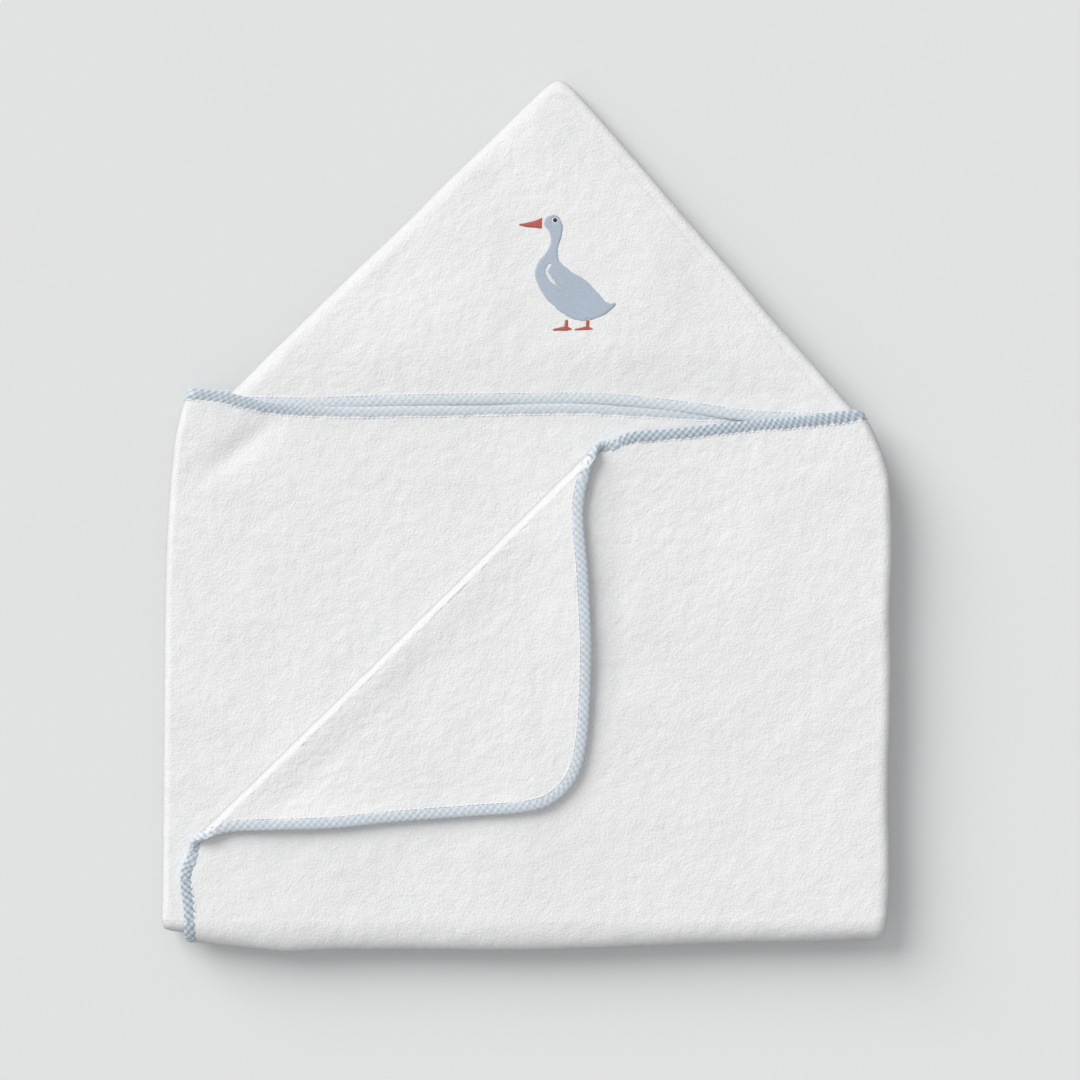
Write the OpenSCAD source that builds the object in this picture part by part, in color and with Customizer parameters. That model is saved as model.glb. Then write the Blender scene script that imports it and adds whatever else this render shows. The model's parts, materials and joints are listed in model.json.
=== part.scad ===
// Hooded baby towel, folded for display: one bound terry sheet with a hood sewn to the middle of
// its top edge. The two side wings are folded over the centre, the lower half is folded behind,
// and the free corner of the upper wing is turned back to show the layer below.
// Frame: origin at the middle of the folded stack on its resting plane, +Y towards the hood's tip,
// +Z up. Millimetres.

/* [Towel cloth] */
// Width of the unfolded towel
towel_w = 1270; // [1240:5:1300]
// Height of the unfolded towel
towel_h = 668; // [660:1:669]
// Thickness of one terry layer, pile included
layer_t = 4.4; // [3.4:0.1:4.6]
// Air between two layers
layer_gap = 0.4; // [0.35:0.05:0.6]
// Outer radius of the towel's rounded corners
corner_r = 42; // [30:1:50]

/* [Folded stack] */
// Width from the left fold to the right fold
stack_w = 457; // [450:1:464]
// Height from the bottom fold to a little past the centre layer's top edge
stack_h = 347; // [343:1:351]
// How far the centre layer's top edge stays short of that height
centre_short = 5.5; // [4:0.5:7]
// How far the right wing's free edge stays short of the left fold
wing_short = 14.5; // [12:0.5:18]
// How far the left wing's top edge sits below the centre layer's
left_wing_drop = 3; // [3:0.5:6]
// How far the right wing's top edge sits below the centre layer's, at the right fold
right_wing_drop = 4; // [3:0.5:6]
// Slope of the right wing's top edge, in degrees
right_wing_slope = 5; // [4:0.5:6]

/* [Binding] */
// Visible width of the bias binding
binding_w = 8; // [6:0.5:10]
// Width of the sewing thread line
thread_w = 0.8; // [0.5:0.1:1.2]
// Thickness of the sewing thread line
thread_t = 0.25; // [0.15:0.05:0.3]

/* [Turned corner] */
// Where the crease meets the right wing's top edge, from the middle of the stack
crease_top_x = 58; // [54:1:62]
// Angle of the crease above the horizontal, in degrees
crease_angle = 44.5; // [43.5:0.5:45.5]
// Where the turned corner's side edge meets the crease, from the middle of the stack
corner_side_x = 38; // [34:1:42]
// Lean of the turned corner's side edge from the vertical, outwards to its foot, in degrees
side_edge_lean = 0.6; // [0:0.1:1]
// Fall of the turned corner's foot edge towards the left fold, in degrees
foot_edge_fall = 2.2; // [1.5:0.1:3]
// Length of the turned corner's side edge if the corner were sharp
side_edge_len = 220; // [214:1:224]

/* [Hood] */
// Rise of the hood's tip above the neck seam
hood_rise = 200; // [194:1:204]
// Width of the hood at the neck seam, left of the tip
hood_left = 210; // [205:1:215]
// Width of the hood at the neck seam, right of the tip
hood_right = 171; // [165:1:177]
// How far the tip is right of the middle of the stack
hood_tip_x = 22.7; // [18:0.1:28]
// Radius of the turned-out tip
hood_tip_r = 7; // [6:0.5:9]
// Width of the enclosed seam on the right side
hood_seam_w = 7; // [6:0.5:8]
// How far the hood slopes down to the table, in degrees
hood_slope = 3.7; // [3:0.1:3.8]

/* [Motif] */
// How far the motif's ground line is above the neck seam
motif_y = 42; // [40:1:46]
// How far the motif is right of the middle of the stack
motif_x = 31.5; // [28:0.5:35]
// Height of the stitched fill
motif_t = 0.8; // [0.5:0.1:1.2]
// Thickness of the soft backing sheet behind the stitching
backing_t = 0.25; // [0.15:0.05:0.3]

/* [Hidden] */
$fn = 64;
far = 1000;
arc_steps = 12;
// A cut reaches this far past the face it leaves
past = 1;
// Clearance between two solids that meet along a slanting edge
slant_clear = 0.01;

// Colours
terry_white = "#f4f4f2";
binding_blue = "#d3e3ee";
thread_white = "#f7f9fa";
motif_blue = "#b4c3d2";
motif_coral = "#d0796e";
motif_dark = "#2b3440";

// Stack heights. Layer 0 lies on the table, and layer 6 is the turned corner.
pitch = layer_t + layer_gap;
function layer_z(k) = k * pitch;
// Middle of the air gap below layer k
function gap_z(k) = k * pitch - layer_gap / 2;
half_z = gap_z(3);

// Radii of a tight fold, between neighbouring layers, and of the right fold, which also goes
// round the left wing's layer
tight_in = layer_gap / 2;
tight_out = tight_in + layer_t;
wrap_in = pitch - layer_t / 2;
wrap_out = pitch + layer_t / 2;
// How much cloth a fold takes up
tight_arc = PI * (tight_in + layer_t / 2);
wrap_arc = PI * pitch;

// Plan places of the folds and edges
left_axis_x = -stack_w / 2 + tight_out;
right_axis_x = stack_w / 2 - wrap_out;
half_y = -stack_h / 2 + half_z;
top_y = stack_h / 2 - centre_short;
wing_free_x = -stack_w / 2 + wing_short;
centre_flat_w = right_axis_x - left_axis_x;
right_wing_flat_w = right_axis_x - wing_free_x;
left_wing_free_x = left_axis_x + towel_w - centre_flat_w - right_wing_flat_w - tight_arc - wrap_arc;
left_wing_top_y = top_y - left_wing_drop;
right_wing_top_y = top_y - right_wing_drop;

// Top edge of a lower layer: the cloth's height, less the upper layer and the bottom fold's arc
function lower_top_y(upper_top_y, wraps) =
    half_y + towel_h - (upper_top_y - half_y) - PI * (wraps * pitch + pitch / 2);
centre_lower_top_y = lower_top_y(top_y, 0);
left_wing_lower_top_y = lower_top_y(left_wing_top_y, 1);
right_wing_lower_top_y = lower_top_y(right_wing_top_y, 2);

function unit(v) = v / norm(v);
function turned(v, a) = [v.x * cos(a) - v.y * sin(a), v.x * sin(a) + v.y * cos(a)];
function turned_left(v) = [-v.y, v.x];
function at_angle(a) = [cos(a), sin(a)];
// Where the line through p along u crosses the line through q along v
function crossing(p, u, q, v) =
    p + u * ((q.x - p.x) * v.y - (q.y - p.y) * v.x) / (u.x * v.y - u.y * v.x);

// The right wing's sloping top edge, and the crease that turns its corner back
wing_top_dir = at_angle(right_wing_slope);
wing_top_right = [right_axis_x, right_wing_top_y];
crease_dir = at_angle(crease_angle);
crease_top = crossing(wing_top_right, wing_top_dir, [crease_top_x, 0], [0, 1]);
crease_foot = crossing(crease_top, crease_dir, [wing_free_x, 0], [0, 1]);
crease_len = norm(crease_top - crease_foot);
// Length of crease under the binding, at either end
crease_bound_len = binding_w / sin(crease_angle) + 1;

// The turned corner's two bound edges
side_dir = at_angle(90 + side_edge_lean);
corner_side_top = crossing(crease_foot, crease_dir, [corner_side_x, 0], [0, 1]);
corner_point = corner_side_top - side_edge_len * side_dir;
foot_dir = at_angle(180 + foot_edge_fall);

// Hood, in its own frame at the neck seam
neck_y = top_y + 2;
neck_z = gap_z(4);
neck_clear = 1.2;
hood_front_z = layer_gap / 2;
hood_back_z = -layer_gap / 2 - layer_t;
hood_left_foot = [hood_tip_x - hood_left, 0];
hood_right_foot = [hood_tip_x + hood_right, 0];
hood_tip = [hood_tip_x, hood_rise];
hood_left_dir = unit(hood_tip - hood_left_foot);
hood_right_dir = unit(hood_right_foot - hood_tip);
seam_t = 1.2;

// ---- Shared shapes ----

// A flat sheet at layer k
module sheet(k, thickness = layer_t) {
    translate([0, 0, layer_z(k)]) linear_extrude(thickness) children();
}

// A line of stitching on top of layer k
module stitched_line(k) {
    translate([0, 0, layer_z(k) + layer_t]) linear_extrude(thread_t) children();
}

// The arc of radius r that rounds the corner p, from the edge towards a to the edge towards b
function arc_points(p, a, b, r) =
    let (to_a = unit(a - p), to_b = unit(b - p), half = acos(to_a * to_b) / 2,
        centre = p + unit(to_a + to_b) * r / sin(half),
        start = p + to_a * r / tan(half) - centre,
        turn = (180 - 2 * half) * sign(start.x * to_a.y - start.y * to_a.x) * -1)
    [for (i = [0:arc_steps]) centre + turned(start, i / arc_steps * turn)];

// The band between two edges that run side by side
module band(outer, inner) {
    polygon([each outer, for (i = [len(inner) - 1:-1:0]) inner[i]]);
}

// Half of a tube from the origin along +X, bulging towards -Y
module half_tube(r_in, r_out, len) {
    rotate([0, 90, 0]) difference() {
        cylinder(r = r_out, h = len);
        translate([0, 0, -past]) cylinder(r = r_in, h = len + 2 * past);
        translate([-far / 2, 0, -past]) cube([far, far, len + 2 * past]);
    }
}

// Half of a tube from y0 to y1, bulging towards +X for side 1 and towards -X for side -1
module side_fold(x, z, r_in, r_out, y0, y1, side) {
    translate([x, side > 0 ? y0 : y1, z]) rotate([0, 0, 90 * side])
        half_tube(r_in, r_out, y1 - y0);
}

module left_fold(k, y0, y1) {
    side_fold(left_axis_x, gap_z(k), tight_in, tight_out, y0, y1, -1);
}

module right_fold(k, y0, y1) {
    side_fold(right_axis_x, layer_z(k) + layer_t / 2, wrap_in, wrap_out, y0, y1, 1);
}

// A wing's bound edge, drawn in by inset: up its free side, round its corner and along its top
function wing_edge(fixed_x, free_x, y1, inset) =
    let (x = free_x + inset * sign(fixed_x - free_x), y = y1 - inset)
    [[x, half_y], each arc_points([x, y], [x, half_y], [fixed_x, y], corner_r - inset),
        [fixed_x, y]];

module wing_sheet(fixed_x, free_x, y1) {
    polygon([[fixed_x, half_y], each wing_edge(fixed_x, free_x, y1, binding_w)]);
}

module wing_strip(fixed_x, free_x, y1, from = 0, to = binding_w) {
    band(wing_edge(fixed_x, free_x, y1, from), wing_edge(fixed_x, free_x, y1, to));
}

// The strip of the centre layer along its top edge
module centre_strip(y1, from = 0, to = binding_w) {
    translate([left_axis_x, y1 - to]) square([centre_flat_w, to - from]);
}

// The right wing's sloping top edge and its free side, as they are once drawn in by inset
function wing_top_at(inset, edge_p, edge_dir) =
    crossing(wing_top_right - [0, inset], wing_top_dir, edge_p, edge_dir);
function wing_side_at(inset) =
    crossing([wing_free_x + inset, 0], [0, 1], crease_foot, crease_dir);

// The strip along the right wing's sloping top edge between two insets
module right_wing_top_strip(from = 0, to = binding_w) {
    polygon([wing_top_at(from, crease_top, crease_dir), wing_top_at(from, wing_top_right, [0, 1]),
        wing_top_at(to, wing_top_right, [0, 1]), wing_top_at(to, crease_top, crease_dir)]);
}

// The strip along the right wing's free side, below the crease, between two insets
module right_wing_side_strip(from = 0, to = binding_w) {
    polygon([[wing_free_x + from, half_y], [wing_free_x + to, half_y],
        wing_side_at(to), wing_side_at(from)]);
}

// The turned corner's bound edge, drawn in by inset: down its side, round and along its foot
function corner_edge(inset) =
    let (side_p = corner_point + inset * turned_left(side_dir),
        foot_p = corner_point - inset * turned_left(foot_dir),
        top = crossing(side_p, side_dir, crease_foot, crease_dir),
        foot = crossing(foot_p, foot_dir, crease_foot, crease_dir),
        point = crossing(side_p, side_dir, foot_p, foot_dir))
    [top, each arc_points(point, top, foot, corner_r - inset), foot];

module corner_strip(from = 0, to = binding_w) {
    band(corner_edge(from), corner_edge(to));
}

// The crease's fold, from one distance along it to another
module crease_fold(from, to) {
    translate([crease_foot.x, crease_foot.y, gap_z(6)]) rotate([0, 0, crease_angle])
        translate([from, slant_clear, 0]) mirror([0, 1, 0])
            half_tube(tight_in, tight_out, to - from);
}

// The bottom fold of a layer that turns round a number of others
module bottom_fold(x0, x1, wraps) {
    translate([x0, half_y, half_z])
        half_tube(wraps * pitch + tight_in, wraps * pitch + tight_out, x1 - x0);
}

module in_hood() {
    translate([0, neck_y, neck_z]) rotate([-hood_slope, 0, 0]) children();
}

// Where the hood's sides, drawn in, meet each other and the level y
function hood_left_at(inset, p, dir) =
    crossing(hood_left_foot - inset * turned_left(hood_left_dir), hood_left_dir, p, dir);
function hood_right_at(inset, p, dir) =
    crossing(hood_tip - inset * turned_left(hood_right_dir), hood_right_dir, p, dir);
function hood_tip_at(left, right) =
    hood_left_at(left, hood_tip - right * turned_left(hood_right_dir), hood_right_dir);

// The hood's outline from y0 up. left and right draw its sloping sides in.
module hood_outline(left, right, y0) {
    tip = hood_tip_at(left, right);
    left_foot = hood_left_at(left, [0, y0], [1, 0]);
    right_foot = hood_right_at(right, [0, y0], [1, 0]);
    polygon([left_foot, each arc_points(tip, left_foot, right_foot, hood_tip_r - tight_out),
        right_foot]);
}

// The hood's strip between two levels
module hood_band(y0, y1) {
    left = tight_out + slant_clear;
    right = hood_seam_w + slant_clear;
    polygon([hood_left_at(left, [0, y0], [1, 0]), hood_left_at(left, [0, y1], [1, 0]),
        hood_right_at(right, [0, y1], [1, 0]), hood_right_at(right, [0, y0], [1, 0])]);
}

// ---- Upper half: the front of the folded stack ----

module centre_upper_panel() {
    color(terry_white) sheet(3) translate([left_axis_x, half_y])
        square([centre_flat_w, top_y - binding_w - half_y]);
}

module left_wing_upper_panel() {
    color(terry_white) sheet(4)
        wing_sheet(left_axis_x, left_wing_free_x, left_wing_top_y);
}

module right_wing_upper_panel() {
    color(terry_white) sheet(5) polygon([
        [wing_free_x + binding_w, half_y], [right_axis_x, half_y],
        wing_top_at(binding_w, wing_top_right, [0, 1]),
        wing_top_at(binding_w, crease_top, crease_dir), wing_side_at(binding_w)
    ]);
}

module left_fold_upper() {
    color(terry_white) left_fold(4, half_y, left_wing_top_y - binding_w);
}

module right_fold_upper() {
    color(terry_white) right_fold(4, half_y, right_wing_top_y - binding_w);
}

module binding_centre_top() {
    color(binding_blue) sheet(3) centre_strip(top_y);
}

module binding_left_wing_upper() {
    color(binding_blue) sheet(4) wing_strip(left_axis_x, left_wing_free_x, left_wing_top_y);
}

module binding_right_wing_top() {
    color(binding_blue) sheet(5) right_wing_top_strip();
}

module binding_right_wing_side() {
    color(binding_blue) sheet(5) right_wing_side_strip();
}

// The binding where it goes round the side folds
module binding_fold_wraps_upper() {
    color(binding_blue) {
        left_fold(4, left_wing_top_y - binding_w, left_wing_top_y);
        right_fold(4, right_wing_top_y - binding_w, right_wing_top_y);
    }
}

module binding_thread_upper() {
    from = binding_w - 2 * thread_w;
    to = binding_w - thread_w;
    color(thread_white) {
        stitched_line(3) centre_strip(top_y, from, to);
        stitched_line(4)
            wing_strip(left_axis_x, left_wing_free_x, left_wing_top_y, from, to);
        stitched_line(5) right_wing_top_strip(from, to);
        stitched_line(5) right_wing_side_strip(from, to);
    }
}

// Joins the hood's back panel to the middle of the towel's top edge
module neck_seam() {
    color(thread_white) translate([hood_left_foot.x + hood_seam_w, top_y,
        layer_z(3) + (layer_t - seam_t) / 2])
        cube([hood_left + hood_right - 2 * hood_seam_w, neck_y + neck_clear / 2 - top_y, seam_t]);
}

// ---- Lower half: folded behind ----

module centre_lower_panel() {
    color(terry_white) sheet(2) translate([left_axis_x, half_y])
        square([centre_flat_w, centre_lower_top_y - binding_w - half_y]);
}

module left_wing_lower_panel() {
    color(terry_white) sheet(1)
        wing_sheet(left_axis_x, left_wing_free_x, left_wing_lower_top_y);
}

module right_wing_lower_panel() {
    color(terry_white) sheet(0)
        wing_sheet(right_axis_x, wing_free_x, right_wing_lower_top_y);
}

module left_fold_lower() {
    color(terry_white) left_fold(2, half_y, left_wing_lower_top_y - binding_w);
}

module right_fold_lower() {
    color(terry_white) right_fold(1, half_y, right_wing_lower_top_y - binding_w);
}

module binding_centre_lower() {
    color(binding_blue) sheet(2) centre_strip(centre_lower_top_y);
}

module binding_left_wing_lower() {
    color(binding_blue) sheet(1)
        wing_strip(left_axis_x, left_wing_free_x, left_wing_lower_top_y);
}

module binding_right_wing_lower() {
    color(binding_blue) sheet(0) wing_strip(right_axis_x, wing_free_x, right_wing_lower_top_y);
}

module binding_fold_wraps_lower() {
    color(binding_blue) {
        left_fold(2, left_wing_lower_top_y - binding_w, left_wing_lower_top_y);
        right_fold(1, right_wing_lower_top_y - binding_w, right_wing_lower_top_y);
    }
}

module binding_thread_lower() {
    from = binding_w - 2 * thread_w;
    to = binding_w - thread_w;
    color(thread_white) {
        stitched_line(1)
            wing_strip(left_axis_x, left_wing_free_x, left_wing_lower_top_y, from, to);
        stitched_line(0)
            wing_strip(right_axis_x, wing_free_x, right_wing_lower_top_y, from, to);
    }
}

// ---- The bottom fold, where each layer turns round the one inside it ----

module half_fold_centre() {
    color(terry_white) bottom_fold(left_axis_x, right_axis_x, 0);
}

module half_fold_left_wing() {
    color(terry_white) bottom_fold(left_axis_x, left_wing_free_x - binding_w, 1);
}

module half_fold_right_wing() {
    color(terry_white) bottom_fold(wing_free_x + binding_w, right_axis_x, 2);
}

module half_fold_binding() {
    color(binding_blue) {
        bottom_fold(left_wing_free_x - binding_w, left_wing_free_x, 1);
        bottom_fold(wing_free_x, wing_free_x + binding_w, 2);
    }
}

// ---- The turned-back corner ----

module corner_panel() {
    color(terry_white) sheet(6) polygon(corner_edge(binding_w));
}

module corner_binding() {
    color(binding_blue) sheet(6) corner_strip();
}

module corner_thread() {
    color(thread_white) stitched_line(6)
        corner_strip(binding_w - 2 * thread_w, binding_w - thread_w);
}

module corner_crease() {
    color(terry_white) crease_fold(crease_bound_len, crease_len - crease_bound_len);
}

module corner_crease_binding() {
    color(binding_blue) {
        crease_fold(0, crease_bound_len);
        crease_fold(crease_len - crease_bound_len, crease_len);
    }
}

// ---- Hood ----

module hood_front_panel() {
    color(terry_white) in_hood() translate([0, 0, hood_front_z]) linear_extrude(layer_t)
        hood_outline(tight_out + slant_clear, hood_seam_w + slant_clear, neck_clear + binding_w);
}

module hood_back_panel() {
    color(terry_white) in_hood() translate([0, 0, hood_back_z]) linear_extrude(layer_t)
        hood_outline(tight_out + slant_clear, hood_seam_w + slant_clear, neck_clear);
}

// The folded left side, where the front panel turns into the back panel
module hood_left_fold() {
    foot = hood_left_at(tight_out, [0, neck_clear + tight_out], [1, 0]);
    head = hood_tip_at(tight_out, 0);
    run = norm(head - foot) - hood_tip_r - tight_out;
    color(terry_white) in_hood() translate([foot.x, foot.y, 0])
        rotate([0, 0, atan2(hood_left_dir.y, hood_left_dir.x)]) mirror([0, 1, 0])
        half_tube(tight_in, tight_out, run);
}

// The enclosed seam down the right side, through both layers
module hood_right_seam() {
    tip = hood_tip_at(tight_out, 0);
    inner_tip = hood_tip_at(tight_out, hood_seam_w);
    outer_foot = hood_right_at(0, [0, neck_clear], [1, 0]);
    inner_foot = hood_right_at(hood_seam_w, [0, neck_clear], [1, 0]);
    color(terry_white) in_hood() translate([0, 0, hood_back_z])
        linear_extrude(2 * layer_t + layer_gap) polygon([inner_foot, inner_tip,
            each arc_points(tip, inner_tip, outer_foot, hood_tip_r - tight_out), outer_foot]);
}

module hood_face_binding() {
    color(binding_blue) in_hood() translate([0, 0, hood_front_z]) linear_extrude(layer_t)
        hood_band(neck_clear, neck_clear + binding_w);
}

module hood_face_thread() {
    line_y = neck_clear + binding_w - 2 * thread_w;
    color(thread_white) in_hood() translate([0, 0, hood_front_z + layer_t])
        linear_extrude(thread_t) hood_band(line_y, line_y + thread_w);
}

// ---- Stitched goose motif, on the hood's front. Its ground line is y = 0 ----

goose_outline = [
    [-17, 64], [-15.6, 57], [-18.6, 50.5], [-23.6, 44], [-25.6, 36], [-23, 27.5], [-16.6, 19],
    [-8.6, 11.6], [0.5, 6.8], [9, 6.4], [17.5, 9.6], [23.4, 13.6], [26, 18], [20.4, 18.6],
    [14.6, 24.6], [6, 33], [-3.4, 39], [-9.8, 45], [-10.4, 52.5], [-8.4, 60], [-7.6, 67.5],
    [-10.4, 73.4], [-15, 74.6], [-19, 72], [-19.8, 67.4]
];
goose_bill_outline = [
    [-20.3, 73], [-25.5, 70.6], [-35.5, 68.6], [-36, 67.4], [-30, 66.2], [-20.7, 65.4]
];
foot_outline = [
    [-1.1, 7.2], [-1.4, 3.2], [-8.6, 1.4], [-8.4, 0.2], [0, 0.2], [4.4, 1], [1.2, 3], [1.1, 7.2]
];
foot_places = [-5.4, 8];
eye_place = [-12.6, 70.8];
eye_r = 1.5;
wing_line_points = [[-15.5, 42.5], [-18, 38.5], [-16, 34], [-11, 28.6], [-4.5, 22.5]];
wing_line_w = 1;
backing_margin = 4;
backing_size = [70, 83];

// One stretch of a smooth closed curve, from b to c
function smooth_point(a, b, c, d, t) =
    0.5 * (2 * b + (c - a) * t + (2 * a - 5 * b + 4 * c - d) * t * t
        + (3 * b - a - 3 * c + d) * t * t * t);
function smooth_loop(p, steps) = let (n = len(p))
    [for (i = [0:n - 1], s = [0:steps - 1])
        smooth_point(p[(i + n - 1) % n], p[i], p[(i + 1) % n], p[(i + 2) % n], s / steps)];

module stitched() {
    in_hood() translate([motif_x, motif_y, hood_front_z + layer_t]) linear_extrude(motif_t)
        children();
}

module feet_2d() {
    for (x = foot_places) translate([x, 0]) polygon(foot_outline);
}

// The wing line: a smooth stroke that tapers to both ends
module wing_line_2d() {
    n = len(wing_line_points);
    path = [for (i = [0:n - 2], s = [0:3]) smooth_point(wing_line_points[max(i - 1, 0)],
        wing_line_points[i], wing_line_points[i + 1], wing_line_points[min(i + 2, n - 1)], s / 4)];
    last = len(path) - 1;
    half = [for (i = [1:last - 1]) turned_left(unit(path[i + 1] - path[i - 1]))
        * wing_line_w / 2 * sqrt(sin(180 * i / last))];
    polygon([path[0], for (i = [1:last - 1]) path[i] + half[i - 1], path[last],
        for (i = [last - 1:-1:1]) path[i] - half[i - 1]]);
}

module goose_body() {
    color(motif_blue) stitched() difference() {
        polygon(smooth_loop(goose_outline, 4));
        translate(eye_place) circle(eye_r);
        wing_line_2d();
        feet_2d();
    }
}

module goose_bill() {
    color(motif_coral) stitched() polygon(goose_bill_outline);
}

module goose_eye() {
    color(motif_dark) stitched() translate(eye_place) circle(eye_r);
}

module goose_wing_line() {
    color(thread_white) stitched() wing_line_2d();
}

module goose_feet() {
    color(motif_coral) stitched() feet_2d();
}

module embroidery_backing() {
    color(thread_white) in_hood()
        translate([motif_x - backing_size.x / 2 - backing_margin, motif_y - backing_margin,
            -backing_t / 2]) cube([backing_size.x, backing_size.y, backing_t]);
}

centre_upper_panel();
left_wing_upper_panel();
right_wing_upper_panel();
left_fold_upper();
right_fold_upper();
binding_centre_top();
binding_left_wing_upper();
binding_right_wing_top();
binding_right_wing_side();
binding_fold_wraps_upper();
binding_thread_upper();
neck_seam();
centre_lower_panel();
left_wing_lower_panel();
right_wing_lower_panel();
left_fold_lower();
right_fold_lower();
binding_centre_lower();
binding_left_wing_lower();
binding_right_wing_lower();
binding_fold_wraps_lower();
binding_thread_lower();
half_fold_centre();
half_fold_left_wing();
half_fold_right_wing();
half_fold_binding();
corner_panel();
corner_binding();
corner_thread();
corner_crease();
corner_crease_binding();
hood_front_panel();
hood_back_panel();
hood_left_fold();
hood_right_seam();
hood_face_binding();
hood_face_thread();
embroidery_backing();
goose_body();
goose_bill();
goose_eye();
goose_wing_line();
goose_feet();
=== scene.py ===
"""Looks of the hooded baby towel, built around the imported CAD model.

Lengths are millimetres unless a comment says metres, and become metres in add_mesh() and blend().
Cloth is described unrolled: a place q = (u, v) on a sheet and a height h above its middle surface,
which a sheet's own function folds into place. Every panel is a closed terry sheet, and every bound
edge is a tape swept along it.
"""

import itertools
import json
import math

import bpy
import numpy as np
from mathutils import Vector
from mathutils.geometry import delaunay_2d_cdt
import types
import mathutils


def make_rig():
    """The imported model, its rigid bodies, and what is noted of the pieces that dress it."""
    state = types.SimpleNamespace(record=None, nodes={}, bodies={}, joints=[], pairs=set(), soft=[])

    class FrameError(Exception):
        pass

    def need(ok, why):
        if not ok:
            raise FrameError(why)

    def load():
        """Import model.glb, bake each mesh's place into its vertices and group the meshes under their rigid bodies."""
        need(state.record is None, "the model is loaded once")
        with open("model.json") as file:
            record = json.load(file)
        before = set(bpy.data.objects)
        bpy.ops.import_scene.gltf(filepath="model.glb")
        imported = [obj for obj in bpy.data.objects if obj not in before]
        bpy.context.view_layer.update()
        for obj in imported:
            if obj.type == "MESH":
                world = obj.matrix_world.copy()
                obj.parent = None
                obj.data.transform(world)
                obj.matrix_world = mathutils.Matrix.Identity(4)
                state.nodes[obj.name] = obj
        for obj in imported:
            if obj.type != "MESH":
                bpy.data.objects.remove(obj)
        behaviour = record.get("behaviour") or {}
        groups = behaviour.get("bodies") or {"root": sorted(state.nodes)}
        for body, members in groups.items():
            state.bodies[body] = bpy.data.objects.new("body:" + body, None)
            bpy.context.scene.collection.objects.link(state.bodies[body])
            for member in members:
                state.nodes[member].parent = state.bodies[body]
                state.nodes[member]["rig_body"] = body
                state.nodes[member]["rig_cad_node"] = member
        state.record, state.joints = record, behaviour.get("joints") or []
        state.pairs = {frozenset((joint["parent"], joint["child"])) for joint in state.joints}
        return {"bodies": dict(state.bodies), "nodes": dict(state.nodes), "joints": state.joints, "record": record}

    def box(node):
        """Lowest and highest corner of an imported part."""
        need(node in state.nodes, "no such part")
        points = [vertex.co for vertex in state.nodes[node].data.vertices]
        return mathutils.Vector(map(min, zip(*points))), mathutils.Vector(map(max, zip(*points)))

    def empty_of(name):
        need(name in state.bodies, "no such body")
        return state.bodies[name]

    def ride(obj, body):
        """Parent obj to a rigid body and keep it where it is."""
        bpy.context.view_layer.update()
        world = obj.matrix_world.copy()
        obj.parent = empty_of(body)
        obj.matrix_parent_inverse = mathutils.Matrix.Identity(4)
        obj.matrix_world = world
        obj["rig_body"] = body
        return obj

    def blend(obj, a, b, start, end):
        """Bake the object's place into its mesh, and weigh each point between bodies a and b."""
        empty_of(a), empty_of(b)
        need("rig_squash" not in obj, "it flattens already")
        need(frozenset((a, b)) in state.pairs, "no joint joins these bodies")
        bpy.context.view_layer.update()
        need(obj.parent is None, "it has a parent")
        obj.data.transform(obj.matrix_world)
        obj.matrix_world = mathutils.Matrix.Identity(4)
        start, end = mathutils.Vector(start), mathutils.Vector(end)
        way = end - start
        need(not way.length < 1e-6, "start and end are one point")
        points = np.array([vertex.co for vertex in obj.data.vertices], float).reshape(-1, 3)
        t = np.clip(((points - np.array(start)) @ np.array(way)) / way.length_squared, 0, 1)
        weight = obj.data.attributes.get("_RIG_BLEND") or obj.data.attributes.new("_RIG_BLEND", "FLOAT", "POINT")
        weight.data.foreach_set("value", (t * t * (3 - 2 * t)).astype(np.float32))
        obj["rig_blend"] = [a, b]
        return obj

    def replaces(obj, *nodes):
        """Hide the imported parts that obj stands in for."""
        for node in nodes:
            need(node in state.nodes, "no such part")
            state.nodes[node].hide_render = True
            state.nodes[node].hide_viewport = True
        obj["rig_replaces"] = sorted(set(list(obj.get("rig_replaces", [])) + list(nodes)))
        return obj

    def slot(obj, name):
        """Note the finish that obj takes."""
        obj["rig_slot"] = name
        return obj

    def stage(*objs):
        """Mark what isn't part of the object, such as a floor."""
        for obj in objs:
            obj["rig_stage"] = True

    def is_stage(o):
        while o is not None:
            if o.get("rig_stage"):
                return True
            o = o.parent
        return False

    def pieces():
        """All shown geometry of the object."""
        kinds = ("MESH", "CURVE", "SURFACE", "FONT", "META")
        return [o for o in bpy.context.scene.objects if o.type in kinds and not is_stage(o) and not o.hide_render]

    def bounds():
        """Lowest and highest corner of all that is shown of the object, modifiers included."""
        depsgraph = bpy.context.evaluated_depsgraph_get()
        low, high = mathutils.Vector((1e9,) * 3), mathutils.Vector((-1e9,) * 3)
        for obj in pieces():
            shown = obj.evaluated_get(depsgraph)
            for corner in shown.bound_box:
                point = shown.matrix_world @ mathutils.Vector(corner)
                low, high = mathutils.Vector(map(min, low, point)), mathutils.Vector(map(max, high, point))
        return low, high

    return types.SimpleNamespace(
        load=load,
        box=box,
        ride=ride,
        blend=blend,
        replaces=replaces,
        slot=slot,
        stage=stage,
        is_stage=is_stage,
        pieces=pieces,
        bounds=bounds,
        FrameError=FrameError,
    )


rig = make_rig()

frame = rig.load()
cad_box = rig.bounds()

MM = 0.001
SIZE_FILE = "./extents.json"
# Nothing sinks below these heights: a sheet's surface, and its pile
FLOOR_GAP = 0.03
PILE_GAP = 0.02
rng = np.random.default_rng(7)


# ---- Places from the frame ----

def node_box(name):
    lo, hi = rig.box(name)
    return np.array(lo) / MM, np.array(hi) / MM


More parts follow.
